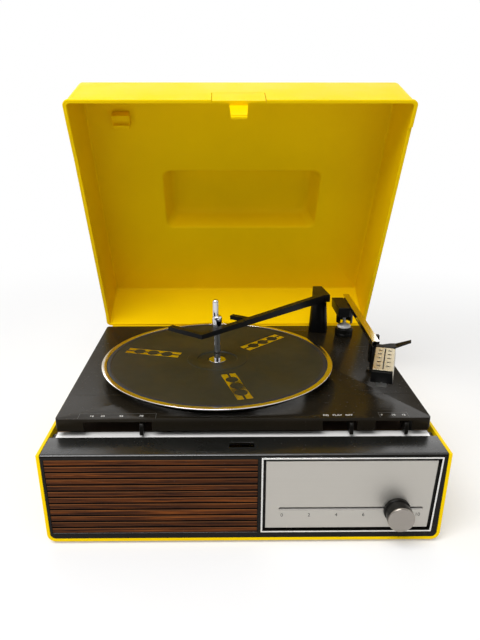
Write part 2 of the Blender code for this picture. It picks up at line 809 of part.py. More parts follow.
def panel_right(height):
    """Right edge of the control panel, which leans with the case's side."""
    share = (height - PANEL_Z0) / (PANEL_Z1 - PANEL_Z0)
    return PANEL_BASE_X + (PANEL_TOP_X - PANEL_BASE_X) * share


def panel_outline(inset):
    """Outline of the control panel, moved in by an inset."""
    low = PANEL_Z0 + inset
    high = PANEL_Z1 - inset
    left = PANEL_LEFT_X + inset
    return [(left, low), (panel_right(low) - inset, low), (panel_right(high) - inset, high), (left, high)]


def grille_outline(grow):
    """Outline of the grille, grown by a margin."""
    low = GRILLE_Z - grow
    high = GRILLE_Z + RIB_COUNT * RIB_PITCH - (RIB_PITCH - RIB_H) + grow
    right = GRILLE_RIGHT_X + grow
    return [(GRILLE_BASE_X - grow, low), (right, low), (right, high), (GRILLE_TOP_X - grow, high)]


def make_fascia():
    """Black front frame: plate with grille and panel pockets, ledge with latch slot, strip shelf."""
    step = LEDGE_DEPTH - LEDGE_T
    shelf_end = LEDGE_DEPTH + STRIP_SHELF_DEPTH
    section = rounded([
        (0.0, 0.0, 0.0), (FASCIA_T, 0.0, 0.0), (FASCIA_T, RIM_H - LEDGE_T, 0.0),
         (step, RIM_H - LEDGE_T, 0.0), (step, SHELF_TOP - LEDGE_T, 0.0),
         (shelf_end, SHELF_TOP - LEDGE_T, 0.0),
        (shelf_end, SHELF_TOP, 0.0), (LEDGE_DEPTH, SHELF_TOP, 0.0), (LEDGE_DEPTH, RIM_H, 0.0),
        (0.0, RIM_H, LEDGE_ROUND)])
    fascia = plate([section], -CASE_HALF_W, CASE_HALF_W, "X")
    finish(fascia, "front_fascia", CASE, BLACK)
    face = trough(WALL + GAP, RIM_H + OVER, TRAY_CORNER_R - WALL)
    apply_boolean(fascia, plate([face], -OVER, shelf_end + OVER, "Y"), "INTERSECT")
    slot = block((LATCH_X - SLOT_W / 2, LATCH_X + SLOT_W / 2), (SLOT_Y - SLOT_D / 2, SLOT_Y + SLOT_D / 2),
                 (RIM_H - LEDGE_T - OVER, RIM_H + OVER))
    cut(fascia, slot)
    cut(fascia, plate([grille_outline(GAP)], -OVER, POCKET_DEPTH, "Y"))
    cut(fascia, plate([panel_outline(-GAP)], -OVER, POCKET_DEPTH, "Y"))
    window = circle(SPEAKER_X, SPEAKER_Z, SPEAKER_HALF_W * CONE_SHARE, 32, SPEAKER_HALF_H * CONE_SHARE)
    cut(fascia, plate([window], -OVER, FASCIA_T + OVER, "Y"))
    reach_x = (VOLUME_SLOT_X0 - GAP, VOLUME_SLOT_X1 + GAP)
    reach_z = (VOLUME_Z - VOLUME_SLOT_H / 2, VOLUME_Z + VOLUME_SLOT_H / 2)
    cut(fascia, block(reach_x, (-OVER, FASCIA_T + OVER), reach_z))


def make_strip():
    """Bright trim strip on the shelf behind the ledge."""
    strip = block((-STRIP_HALF_W, STRIP_HALF_W), (LEDGE_DEPTH + GAP, LEDGE_DEPTH + STRIP_SHELF_DEPTH),
                  (SHELF_TOP + GAP, STRIP_TOP))
    finish(strip, "trim_strip", CASE, BRUSHED)


def make_grille():
    """Wood-look speaker grille: a plate with rows of ribs between grooves, its left edge leaning."""
    back = POCKET_DEPTH - GAP
    groove = GRILLE_FRONT_Y + RIB_DEPTH
    section = [(back, GRILLE_Z)]
    for index in range(RIB_COUNT):
        low = GRILLE_Z + index * RIB_PITCH
        section += [(GRILLE_FRONT_Y, low), (GRILLE_FRONT_Y, low + RIB_H)]
        if index < RIB_COUNT - 1:
            section += [(groove, low + RIB_H), (groove, low + RIB_PITCH)]
        else:
            section += [(back, low + RIB_H)]
    grille = plate([list(reversed(section))], GRILLE_TOP_X - OVER, GRILLE_RIGHT_X, "X")
    finish(grille, "speaker_grille", CASE, WOOD, smooth=False)
    low, right, high = GRILLE_Z - OVER, GRILLE_RIGHT_X + OVER, RIM_H
    lean = (GRILLE_TOP_X - GRILLE_BASE_X) / (RIB_COUNT * RIB_PITCH)
    keep = [(GRILLE_BASE_X - lean * OVER, low), (right, low), (right, high),
            (GRILLE_BASE_X + lean * (high - GRILLE_Z), high)]
    apply_boolean(grille, plate([keep], -OVER, FASCIA_T, "Y"), "INTERSECT")


def make_panel():
    """Silver bezel frame and the brushed control plate with its volume slot."""
    back = POCKET_DEPTH - GAP
    bezel = plate([panel_outline(0.0), panel_outline(BEZEL_W)], BEZEL_FRONT_Y, back, "Y")
    finish(bezel, "panel_bezel", CASE, BRUSHED, smooth=False)
    slot = rectangle((VOLUME_SLOT_X0, VOLUME_SLOT_X1),
                     (VOLUME_Z - VOLUME_SLOT_H / 2, VOLUME_Z + VOLUME_SLOT_H / 2), VOLUME_SLOT_H / 3, 3)
    inset = BEZEL_W + PANEL_RING_W
    panel = plate([panel_outline(inset), slot], PANEL_FRONT_Y, back, "Y")
    finish(panel, "control_panel", CASE, BRUSHED, smooth=False)


def make_volume():
    """Volume knob on its slide: flange, tier and stem in one moulding, metal cap, and the pot behind."""
    axis = new_empty("volume_slide", CASE, (KNOB_X, BEZEL_FRONT_Y - KNOB_STAND_OFF, VOLUME_Z))
    tier_top = KNOB_FLANGE_T + KNOB_TIER_T
    body = turned([(0.0, tier_top), (KNOB_TIER_R, tier_top), (KNOB_TIER_R, KNOB_FLANGE_T),
                   (KNOB_R, KNOB_FLANGE_T), (KNOB_R, 0.0), (0.0, 0.0)], 32)
    lay(body, "-Y")
    finish(body, "volume_knob", axis, BLACK)
    join(body, block((-STEM_W / 2, STEM_W / 2), (-OVER, STEM_DEPTH), (-STEM_T / 2, STEM_T / 2)))
    foot = tier_top + GAP
    front = foot + CAP_T
    cap = turned([(0.0, front - CAP_DISH), (CAP_R - 2 * CAP_ROUND, front), (CAP_R - CAP_ROUND, front),
                  (CAP_R, front - CAP_ROUND), (CAP_R, foot), (0.0, foot)], 32)
    lay(cap, "-Y")
    finish(cap, "volume_cap", axis, BRUSHED)
    pot_back = POT_FRONT_Y + POT_DEPTH
    pot = block((VOLUME_SLOT_X0 - POT_END, VOLUME_SLOT_X1 + POT_END), (POT_FRONT_Y, pot_back),
                (VOLUME_Z - POT_H / 2, VOLUME_Z + POT_H / 2))
    finish(pot, "slide_potentiometer", CASE, STEEL)
    for side in (VOLUME_SLOT_X0, VOLUME_SLOT_X1):
        lug = block((side - POT_END / 2, side + POT_END / 2), (FASCIA_T + GAP, POT_FRONT_Y + GAP),
                    (VOLUME_Z + VOLUME_SLOT_H, VOLUME_Z + POT_H / 2))
        join(pot, lug)
    groove_back = POT_FRONT_Y + POT_GROOVE_DEPTH
    groove = block((VOLUME_SLOT_X0 - GAP, VOLUME_SLOT_X1 + GAP), (POT_FRONT_Y - OVER, groove_back),
                   (VOLUME_Z - POT_GROOVE_H / 2, VOLUME_Z + POT_GROOVE_H / 2))
    cut(pot, groove)


WELL_FLOOR = DECK_TOP - WELL_DEPTH
PULLEY_TURN = math.radians(IDLER_ANGLE + PULLEY_ANGLE)
IDLER_TURN = math.radians(IDLER_ANGLE)
IDLER_REACH = DRIVE_RIM_R - IDLER_R - RUN
IDLER_X = SPIN_X + IDLER_REACH * math.cos(IDLER_TURN)
IDLER_Y = SPIN_Y + IDLER_REACH * math.sin(IDLER_TURN)
PULLEY_REACH = IDLER_R + PULLEY_RADII[0] + RUN
PULLEY_X = IDLER_X + PULLEY_REACH * math.cos(PULLEY_TURN)
PULLEY_Y = IDLER_Y + PULLEY_REACH * math.sin(PULLEY_TURN)


def make_deck():
    """Black deck plate: a pressed sheet with skirts, a round well under the platter and lever notches."""
    edges = (-DECK_HALF_W, DECK_HALF_W)
    depth = (DECK_FRONT, DECK_REAR)
    low = DECK_TOP - DECK_SKIRT
    deck = plate([rectangle(edges, depth, DECK_CORNER_R)], low, DECK_TOP)
    finish(deck, "deck_plate", CASE, DECK_BLACK)
    bevel(deck, DECK_ROUND, 2)
    inner = plate([rectangle((edges[0] + DECK_T, edges[1] - DECK_T), (depth[0] + DECK_T, depth[1] - DECK_T),
                             DECK_CORNER_R - DECK_T)], low - OVER, DECK_TOP - DECK_T)
    cut(deck, inner)
    middle = (SPIN_X, SPIN_Y, 0.0)
    join(deck, rod(WELL_R + DECK_T, WELL_FLOOR - DECK_T, DECK_TOP - DECK_T / 2, 56, middle))
    cut(deck, rod(WELL_R, WELL_FLOOR, DECK_TOP + OVER, 56, middle))
    drill = (WELL_FLOOR - DECK_T - OVER, WELL_FLOOR + OVER)
    cut(deck, rod(SPINDLE_R + GAP, *drill, 24, middle))
    cut(deck, rod(MOTOR_SHAFT_R + 2 * RUN, *drill, 16, (PULLEY_X, PULLEY_Y, 0.0)))
    cut(deck, rod(ARM_PIN_R + RUN, *drill, 16, (IDLER_X, IDLER_Y, 0.0)))
    notches = ((SPEED_NOTCH_X0, SPEED_NOTCH_X1), (PLAY_NOTCH_X0, PLAY_NOTCH_X1),
               (SIZE_NOTCH_X0, SIZE_NOTCH_X1))
    through = (DECK_FRONT - OVER, DECK_FRONT + DECK_T + OVER)
    for notch in notches:
        cut(deck, block(notch, through, (low - OVER, low + NOTCH_H)))


def make_levers():
    """Three slide levers under the deck's front edge, each guided along the sheet's underside."""
    low = DECK_TOP - DECK_SKIRT
    guide = DECK_TOP - DECK_T - GAP
    shoulder = low + NOTCH_H - LEVER_NOTCH_GAP
    inner = DECK_FRONT + DECK_T + LEVER_NOTCH_GAP
    front = DECK_FRONT - LEVER_REACH
    section = [(front, low - LEVER_DROP), (front + LEVER_LENGTH / 2, low - LEVER_DROP),
               (front + LEVER_LENGTH, low), (front + LEVER_LENGTH, guide), (inner, guide),
               (inner, shoulder), (front + LEVER_REACH / 2, shoulder), (front, shoulder - LEVER_REACH)]
    places = (("speed_lever", SPEED_LEVER_X), ("play_lever", PLAY_LEVER_X), ("size_lever", SIZE_LEVER_X))
    for name, x in places:
        axis = new_empty(name + "_slide", CASE, (x, DECK_FRONT, low))
        lever = plate([section], -LEVER_T / 2, LEVER_T / 2, "X")
        lever.location = (0.0, -DECK_FRONT, -low)
        finish(lever, name, axis, BLACK, smooth=False)


def make_board():
    """Motor board with its large opening, and the four rubber mounts that carry the deck."""
    rear = CASE_DEPTH - WALL - GAP
    side = half_width(BOARD_TOP - BOARD_T) - WALL - GAP
    hole = rectangle((-DECK_HALF_W + BOARD_HOLE_MARGIN, DECK_HALF_W - BOARD_HOLE_MARGIN),
                     (BOARD_FRONT + BOARD_HOLE_MARGIN, DECK_REAR - BOARD_HOLE_MARGIN), BOARD_CORNER_R, 3)
    board = plate([rectangle((-side, side), (BOARD_FRONT, rear)), hole], BOARD_TOP - BOARD_T, BOARD_TOP)
    finish(board, "motor_board", CASE, HARDBOARD, smooth=False)
    low, high = BOARD_TOP + GAP, DECK_TOP - DECK_T - GAP
    middle = (low + high) / 2
    rows = (BOARD_FRONT + MOUNT_INSET, DECK_REAR - MOUNT_INSET)
    spots = [(side * (DECK_HALF_W - MOUNT_INSET), y) for y in rows for side in (-1, 1)]
    names = ("deck_mount_front_left", "deck_mount_front_right",
             "deck_mount_rear_left", "deck_mount_rear_right")
    for name, (x, y) in zip(names, spots):
        mount = turned([(0.0, high), (MOUNT_R, high), (MOUNT_WAIST_R, middle), (MOUNT_R, low), (0.0, low)],
                       20, (x, y, 0.0))
        finish(mount, name, CASE, BLACK_RUBBER)


SHEET_TOP = PLATTER_RIM_TOP - MAT_T - GAP
SHEET_LOW = SHEET_TOP - PLATTER_SHEET_T
PLATTER_AXIS = new_empty("platter_axis", CASE, (SPIN_X, SPIN_Y, 0.0))


def make_platter():
    """Bright platter: slim raised rim, flat sheet, hub, and the drive rim that reaches into the well."""
    low = PLATTER_RIM_TOP - PLATTER_RIM_H
    seat = MAT_R + GAP
    drive = WELL_FLOOR + DRIVE_RIM_LIFT
    hub = WELL_FLOOR + HUB_LIFT
    bore = SPINDLE_R + RUN
    outer = DRIVE_RIM_R + DRIVE_RIM_T
    loop = [(bore, SHEET_TOP), (seat, SHEET_TOP), (seat + PLATTER_ROUND, PLATTER_RIM_TOP),
            (PLATTER_R - PLATTER_ROUND, PLATTER_RIM_TOP), (PLATTER_R, PLATTER_RIM_TOP - PLATTER_ROUND),
            (PLATTER_R, low), (PLATTER_R - PLATTER_UNDERCUT, SHEET_LOW),
            (outer, SHEET_LOW), (outer, drive), (DRIVE_RIM_R, drive), (DRIVE_RIM_R, SHEET_LOW),
            (HUB_R, SHEET_LOW), (HUB_R, hub), (bore, hub)]
    platter = turned(loop, 64, closed=True)
    finish(platter, "platter", PLATTER_AXIS, POLISHED)


def window_half(side):
    """One side of a mat window in (radial, tangential): a straight edge and a wavy edge round the discs."""
    middle = (WINDOW_R0 + WINDOW_R1) / 2
    edge = side * WINDOW_W / 2
    thin = WINDOW_STRIP_W / 2
    wave = [(WINDOW_R0, side * thin)]
    span = math.acos(thin / WINDOW_DISC_R)
    for index in (-1, 0, 1):
        centre = middle + index * WINDOW_DISC_PITCH
        for step in range(7):
            turn = -span + 2 * span * step / 6
            wave.append((centre + WINDOW_DISC_R * math.sin(turn), side * WINDOW_DISC_R * math.cos(turn)))
    wave.append((WINDOW_R1, side * thin))
    return [(WINDOW_R0, edge)] + wave + [(WINDOW_R1, edge)]


def make_mat():
    """Rubber mat with an edge band, a centre dip, and three windows that each frame a row of discs."""
    low = SHEET_TOP + GAP
    top = low + MAT_T
    band = MAT_R - MAT_BAND_W
    loop = [(MAT_HOLE_R, top - MAT_DIP), (MAT_DIP_R, top - MAT_DIP), (MAT_DIP_R + MAT_STEP, top),
            (MAT_RING_R, top), (MAT_RING_R + MAT_STEP, top - MAT_STEP), (band, top - MAT_STEP),
            (band + MAT_STEP, top), (MAT_R - MAT_STEP, top), (MAT_R, top - MAT_STEP), (MAT_R, low),
            (MAT_HOLE_R, low)]
    mat = turned(loop, 56, closed=True)
    finish(mat, "platter_mat", PLATTER_AXIS, MAT_RUBBER)
    for angle in WINDOW_ANGLES:
        for side in (-1, 1):
            tool = plate([window_half(side)], low - OVER / 2, top + OVER / 2)
            tool.rotation_euler = (0.0, 0.0, math.radians(angle))
            cut(mat, tool)
    washer = tube_ring(WASHER_R, SPINDLE_R + RUN, SHEET_TOP + GAP, SHEET_TOP + GAP + WASHER_T, 32)
    finish(washer, "hub_washer", PLATTER_AXIS, CHROME)


def make_spindle():
    """Stepped chrome spindle with its shelf and offset tip, and the bearing the platter turns on."""
    place = (SPIN_X, SPIN_Y, 0.0)
    floor_low = WELL_FLOOR - DECK_T
    flange_low = floor_low - GAP - SPINDLE_FLANGE_T
    spindle = turned([(0.0, SHELF_Z + OVER), (SPINDLE_R, SHELF_Z + OVER), (SPINDLE_R, floor_low - GAP),
                      (SPINDLE_FLANGE_R, floor_low - GAP), (SPINDLE_FLANGE_R, flange_low),
                      (SPINDLE_R, flange_low), (SPINDLE_R, WELL_FLOOR - SPINDLE_FOOT),
                      (0.0, WELL_FLOOR - SPINDLE_FOOT)], 24, place)
    finish(spindle, "spindle", CASE, CHROME)
    taper = SHELF_R - SPINDLE_R
    shelf_top = SHELF_Z + SHELF_H
    shelf = turned([(0.0, shelf_top), (SHELF_R - taper / 2, shelf_top), (SHELF_R, shelf_top - taper),
                    (SHELF_R, SHELF_Z + taper), (SPINDLE_R + taper / 4, SHELF_Z - taper),
                    (0.0, SHELF_Z - taper)], 24, place)
    shift = (SPIN_X - TIP_SHIFT, SPIN_Y, 0.0)
    arcs = [(TIP_R * math.sin(math.radians(t)), TIP_TOP - TIP_R + TIP_R * math.cos(math.radians(t)))
            for t in (0.0, 22.5, 45.0, 67.5, 90.0)]
    tip = turned(arcs + [(TIP_R, SHELF_Z + SHELF_H - OVER), (0.0, SHELF_Z + SHELF_H - OVER)], 24, shift)
    join(spindle, shelf, tip)
    bearing = tube_ring(BEARING_R, BEARING_BORE_R, WELL_FLOOR + GAP, WELL_FLOOR + HUB_LIFT - GAP, 32, place)
    finish(bearing, "turntable_bearing", CASE, STEEL)


def make_idler():
    """Idler arm that rises with the speed lever, and the wheel with its tyre that spins on it."""
    carrier = new_empty("idler_lift", CASE, (IDLER_X, IDLER_Y, 0.0))
    axis = new_empty("idler_axis", carrier)
    tyre_low = WELL_FLOOR + IDLER_LIFT
    disc_low = tyre_low + (TYRE_T - IDLER_DISC_T) / 2
    arm_low = WELL_FLOOR + GAP
    tail = Vector((math.cos(IDLER_TURN), math.sin(IDLER_TURN))) * -(IDLER_R - ARM_W)
    side = ARM_W / 2
    blank = [(-side, -side), (side, -side), (side, side), (-side, side)]
    arm = plate([[(a + min(0.0, tail.x) * (a < 0.0) + max(0.0, tail.x) * (a > 0.0), b) for a, b in blank]],
                arm_low, arm_low + ARM_T)
    finish(arm, "idler_arm", carrier, STEEL)
    pin = rod(ARM_PIN_R, WELL_FLOOR - ARM_PIN_DROP, arm_low + ARM_T / 2, 16)
    axle = rod(IDLER_BORE_R - RUN, arm_low, disc_low + IDLER_DISC_T + GAP, 16)
    join(arm, pin, axle)
    hub = IDLER_BORE_R + ARM_T
    loop = [(IDLER_BORE_R, disc_low + IDLER_DISC_T), (IDLER_R - TYRE_W, disc_low + IDLER_DISC_T),
            (IDLER_R - TYRE_W, disc_low), (hub, disc_low), (hub, arm_low + ARM_T + GAP),
            (IDLER_BORE_R, arm_low + ARM_T + GAP)]
    wheel = turned(loop, 24, closed=True)
    finish(wheel, "idler_wheel", axis, STEEL)
    tyre = tube_ring(IDLER_R, IDLER_R - TYRE_W + GAP, tyre_low, tyre_low + TYRE_T, 28)
    finish(tyre, "idler_tyre", axis, BLACK_RUBBER)


def make_motor():
    """Motor hung under the well: stator with its bracket, its coil, and the rotor with its pulley."""
    place = (PULLEY_X, PULLEY_Y, 0.0)
    axis = new_empty("rotor_axis", CASE, place)
    step_low = WELL_FLOOR + PULLEY_LIFT
    profile = [(0.0, step_low + len(PULLEY_RADII) * PULLEY_STEP_H)]
    for index in reversed(range(len(PULLEY_RADII))):
        profile += [(PULLEY_RADII[index], step_low + (index + 1) * PULLEY_STEP_H),
                    (PULLEY_RADII[index], step_low + index * PULLEY_STEP_H)]
    rotor_top = STATOR_TOP - BRACKET_T / 2 - GAP
    rotor_low = STATOR_TOP - STATOR_T + GAP
    profile += [(MOTOR_SHAFT_R, step_low), (MOTOR_SHAFT_R, rotor_top), (ROTOR_R, rotor_top),
                (ROTOR_R, rotor_low), (MOTOR_SHAFT_R, rotor_low), (MOTOR_SHAFT_R, rotor_low - BRACKET_T),
                (0.0, rotor_low - BRACKET_T)]
    rotor = turned(profile, 16)
    finish(rotor, "motor_rotor", axis, STEEL)
    x = (PULLEY_X - STATOR_W / 2, PULLEY_X + STATOR_W / 2)
    y = (PULLEY_Y - STATOR_D / 2, PULLEY_Y + STATOR_D / 2)
    frame = STATOR_FRAME
    bore = circle(PULLEY_X, PULLEY_Y, STATOR_BORE_R, 32)
    window = rectangle((x[0] + frame, x[1] - frame), (y[0] + frame / 2, y[0] + frame))
    stator = plate([rectangle(x, y), bore, window], STATOR_TOP - STATOR_T, STATOR_TOP)
    finish(stator, "motor_stator", CASE, FERRITE, smooth=False)
    coil_low = STATOR_TOP - STATOR_T / 2 - COIL_T / 2
    coil = block((PULLEY_X - COIL_W / 2, PULLEY_X + COIL_W / 2), (y[0] - COIL_T / 2, y[0] + frame - GAP),
                 (coil_low, coil_low + COIL_T))
    finish(coil, "motor_coil", CASE, COPPER)
    bevel(coil, COIL_ROUND, 2)
    core = block((PULLEY_X - COIL_W, PULLEY_X + COIL_W), (y[0] - GAP, y[0] + frame / 2 + GAP),
                 (STATOR_TOP - STATOR_T - GAP, STATOR_TOP + GAP))
    cut(coil, core)
    bracket_low = STATOR_TOP - BRACKET_T / 2
    holes = [circle(PULLEY_X, PULLEY_Y, MOTOR_SHAFT_R + 2 * RUN, 16)]
    spread = STATOR_D / 2 - BRACKET_POST_R
    bracket = plate([rectangle((x[0], x[1]), (PULLEY_Y - BRACKET_POST_R, y[1]), BRACKET_POST_R, 3)] + holes,
                    bracket_low, bracket_low + BRACKET_T)
    join(stator, bracket)
    post_top = WELL_FLOOR - DECK_T - GAP
    for side_x, side_y in ((-1, 0), (1, 0), (0, 1)):
        spot = (PULLEY_X + side_x * (STATOR_W / 2 - BRACKET_POST_R), PULLEY_Y + side_y * spread, 0.0)
        join(stator, rod(BRACKET_POST_R - GAP, bracket_low + BRACKET_T / 2, post_top, 16, spot))


def make_speaker():
    """Oval speaker behind the grille: flanged basket, paper cone and magnet."""
    back = FASCIA_T + GAP
    wide = SPEAKER_HALF_W / SPEAKER_HALF_H
    flange_y = SPEAKER_FLANGE_T
    neck = BASKET_DEPTH
    hole = SPEAKER_HALF_H * CONE_SHARE
    loop = [(hole, 0.0), (SPEAKER_HALF_H, 0.0), (SPEAKER_HALF_H, -flange_y), (hole + BASKET_T, -flange_y),
            (BASKET_R, -neck), (CONE_NECK_R + CONE_T + RUN, -neck),
            (CONE_NECK_R + CONE_T + RUN, -neck + BASKET_T),
            (BASKET_R - BASKET_T, -neck + BASKET_T), (hole, -flange_y)]
    basket = turned(loop, 32, closed=True)
    oval(basket, wide)
    basket.location = (SPEAKER_X, back, SPEAKER_Z)
    lay(basket, "-Y")
    finish(basket, "speaker_frame", CASE, STEEL)
    rim = hole - GAP
    cone_loop = [(CONE_NECK_R, -CONE_DEPTH), (rim - CONE_T, 0.0), (rim, 0.0), (rim, -CONE_T),
                 (CONE_NECK_R + CONE_T, -CONE_DEPTH - CONE_T), (CONE_NECK_R + CONE_T, -neck - CONE_T),
                 (CONE_NECK_R, -neck - CONE_T)]
    cone = turned(cone_loop, 32, closed=True)
    oval(cone, wide)
    cone.location = basket.location
    lay(cone, "-Y")
    finish(cone, "speaker_cone", CASE, PAPER)
    top = -neck - CONE_T - GAP
    magnet = turned([(0.0, top), (MAGNET_R, top), (MAGNET_R, top - MAGNET_T), (0.0, top - MAGNET_T)], 24)
    magnet.location = basket.location
    lay(magnet, "-Y")
    finish(magnet, "speaker_magnet", CASE, FERRITE)
    ring = tube_ring(MAGNET_R - BASKET_T, MAGNET_R - 2 * BASKET_T, top - OVER, -neck - GAP, 24)
    ring.location = basket.location
    lay(ring, "-Y")
    join(magnet, ring)


def oval(piece, stretch):
    """Stretch a turned piece across X after its spin, inside its own modifier stack."""
    bpy.context.view_layer.update()
    evaluated = piece.evaluated_get(bpy.context.evaluated_depsgraph_get())
    spun = bpy.data.meshes.new_from_object(evaluated)
    piece.modifiers.clear()
    piece.data = spun
    spun.transform(Matrix.Scale(stretch, 4, (1.0, 0.0, 0.0)))


def make_amplifier():
    """Amplifier board on the tray's bosses, with its filter capacitor."""
    board = block((AMP_X0, AMP_X1), (AMP_Y0, AMP_Y1), (AMP_Z, AMP_Z + AMP_T))
    finish(board, "amplifier_board", CASE, CIRCUIT, smooth=False)
    top = AMP_Z + AMP_T + GAP
    can_x = AMP_X0 + 2 * CAN_R
    can = rod(CAN_R, top, top + CAN_H, 24, (can_x, AMP_Y1 - 2 * CAN_R, 0.0))
    finish(can, "filter_capacitor", CASE, BRUSHED)


def make_keeper():
    """Latch keeper: a bracket behind the fascia whose plate hangs in front of the latch slot."""
    high = RIM_H - LEDGE_T - GAP
    y = FASCIA_T + GAP
    x = (LATCH_X - KEEPER_W / 2, LATCH_X + KEEPER_W / 2)
    lip = SLOT_Y - SLOT_D / 2
    section = [(y, high), (y, high - KEEPER_H), (lip, high - KEEPER_H), (lip, high - KEEPER_H + KEEPER_T),
               (y + KEEPER_T, high - KEEPER_H + KEEPER_T), (y + KEEPER_T, high)]
    keeper = plate([section], *x, "X")
    finish(keeper, "latch_keeper", CASE, STEEL, smooth=False)


def tapered_bar(points, tops, widths, depths):
    """Closed bar along a line of points, with its own top height, width and depth at each of them."""
    path = [Vector(point) for point in points]

    def build(shape):
        rings = []
        for index, (here, top, width, depth) in enumerate(zip(path, tops, widths, depths)):
            ahead = path[min(index + 1, len(path) - 1)] - here
            behind = here - path[max(index - 1, 0)]
            ahead = (ahead if ahead.length > 0.0 else behind).normalized()
            behind = (behind if behind.length > 0.0 else ahead).normalized()
            side = (ahead + behind).normalized()
            across = Vector((-side.y, side.x))
            reach = width / 2 / max(across.dot(Vector((-ahead.y, ahead.x))), 0.5)
            left, right = here + across * reach, here - across * reach
            ring = [(*left, top), (*right, top), (*right, top - depth), (*left, top - depth)]
            rings.append([shape.verts.new(corner) for corner in ring])
        shape.faces.new(rings[0])
        shape.faces.new(rings[-1])
        for near, far in zip(rings, rings[1:]):
            for side in range(4):
                shape.faces.new((near[side - 1], near[side], far[side], far[side - 1]))
        bmesh.ops.recalc_face_normals(shape, faces=shape.faces)

    return object_from(bpy.data.meshes.new("bar"), build)


ARM_LOW = POST_TOP + GAP


def make_overarm():
    """Overarm that holds the record stack: fixed post, lifting shaft, and the arm that swings on it."""
    place = (OVERARM_X, OVERARM_Y, 0.0)
    foot = DECK_TOP + GAP
    bore = SHAFT_R + RUN
    post = turned([(bore, POST_TOP), (POST_TOP_R, POST_TOP), (POST_BASE_R, foot + OVER),
                   (POST_BASE_R, foot),
                   (bore, foot)], 28, place, closed=True)
    finish(post, "overarm_post", CASE, BLACK)
    slide = new_empty("overarm_slide", CASE, place)
    shaft = rod(SHAFT_R, foot + SHAFT_FOOT_LIFT, ARM_LOW + HEAD_T / 2, 20)
    finish(shaft, "overarm_shaft", slide, CHROME)
    swing = new_empty("overarm_swing", slide)
    top = ARM_LOW + HEAD_T
    arm = plate([HEAD_OUTLINE], ARM_LOW, top)
    finish(arm, "overarm", swing, BLACK, smooth=False)
    for line, depths in ((BAR_LINE, BAR_DEPTHS), (PRONG_LINE, PRONG_DEPTHS)):
        points = [(x - OVERARM_X, y - OVERARM_Y) for x, y in line]
        join(arm, tapered_bar(points, [top] * len(points), [BAR_W] * len(points), depths))
    cut(arm, rod(SHAFT_R + GAP, ARM_LOW - OVER, ARM_LOW + HEAD_T / 2 + GAP, 20))
    bevel(arm, ARM_EDGE, 1)


TURN = new_empty("tonearm_swing", CASE, (ARM_X, ARM_Y, 0.0))
LIFT = new_empty("tonearm_lift", TURN, (0.0, 0.0, LIFT_Z))


def make_tonearm_base():
    """Black base cup, bright collar and pivot post that carry the tonearm."""
    place = (ARM_X, ARM_Y, 0.0)
    foot = DECK_TOP + GAP
    top = foot + ARM_BASE_H
    edge = COLLAR_T / 3
    base = turned([(0.0, top), (ARM_BASE_R - edge, top), (ARM_BASE_R, top - edge), (ARM_BASE_R, foot),
                   (0.0, foot)],
                  32, place)
    finish(base, "tonearm_base", CASE, BLACK)
    low = top + GAP
    cone = low + COLLAR_T
    post = turned([(0.0, PIVOT_TOP), (ARM_SHAFT_R, PIVOT_TOP), (ARM_SHAFT_R, cone + COLLAR_CONE_H),
                   (COLLAR_R - edge, cone), (COLLAR_R, cone - edge), (COLLAR_R, low), (0.0, low)],
                  28, place)
    finish(post, "tonearm_pivot_post", CASE, CHROME)


def make_turret():
    """Black turret on the pivot post: a long block on a hub whose skirt is open at the front."""
    turret = block((-YOKE_LEFT, YOKE_RIGHT), (-YOKE_FRONT, YOKE_REAR), (YOKE_TOP - YOKE_T, YOKE_TOP))
    finish(turret, "tonearm_turret", TURN, BLACK, smooth=False)
    bevel(turret, YOKE_EDGE, 1)
    join(turret, rod(TURRET_R, TURRET_LOW, TURRET_TOP, 32))
    cut(turret, rod(TURRET_R - TURRET_WALL, TURRET_LOW - OVER, TURRET_ROOF, 32))
    window = (-TURRET_WINDOW_W / 2, TURRET_WINDOW_W / 2)
    cut(turret, block(window, (-TURRET_R - OVER, -TURRET_WALL), (TURRET_LOW - OVER, TURRET_ROOF)))
    cut(turret, rod(ARM_SHAFT_R + RUN, TURRET_ROOF - OVER, PIVOT_TOP + GAP, 20))


def make_arm_tube():
    """Square aluminium arm tube with the bush it lifts on."""
    front = Vector((TUBE_RIGHT, -TUBE_FRONT, TUBE_FRONT_Z - LIFT_Z))
    rear = Vector((TUBE_RIGHT, TUBE_REAR, TUBE_REAR_Z - LIFT_Z))
    length = (rear - front).length
    tilt = math.atan2(rear.z - front.z, rear.y - front.y)
    tube = block((-TUBE_W / 2, TUBE_W / 2), (-length / 2, length / 2), (-TUBE_H / 2, TUBE_H / 2))
    tube.location = (front + rear) / 2
    tube.rotation_euler = (tilt, 0.0, 0.0)
    finish(tube, "arm_tube", LIFT, BRUSHED, smooth=False)
    inside = block((-TUBE_W / 2 + TUBE_WALL, TUBE_W / 2 - TUBE_WALL),
                   (-length / 2 + TUBE_WALL, length / 2 + OVER),
                   (-TUBE_H / 2 + TUBE_WALL, TUBE_H / 2 - TUBE_WALL))
    inside.location = tube.location
    inside.rotation_euler = tube.rotation_euler
    cut(tube, inside)
    bush = rod(LIFT_BUSH_R, YOKE_RIGHT + GAP, TUBE_RIGHT - TUBE_W / 2 + TUBE_WALL / 2, 20)
    lay(bush, "+X")
    join(tube, bush)


SHELL = new_empty("headshell_frame", LIFT, (SHELL_RIGHT, -SHELL_FRONT, SHELL_Z - LIFT_Z),
                  (SHELL_TILT, 0.0, SHELL_TURN))


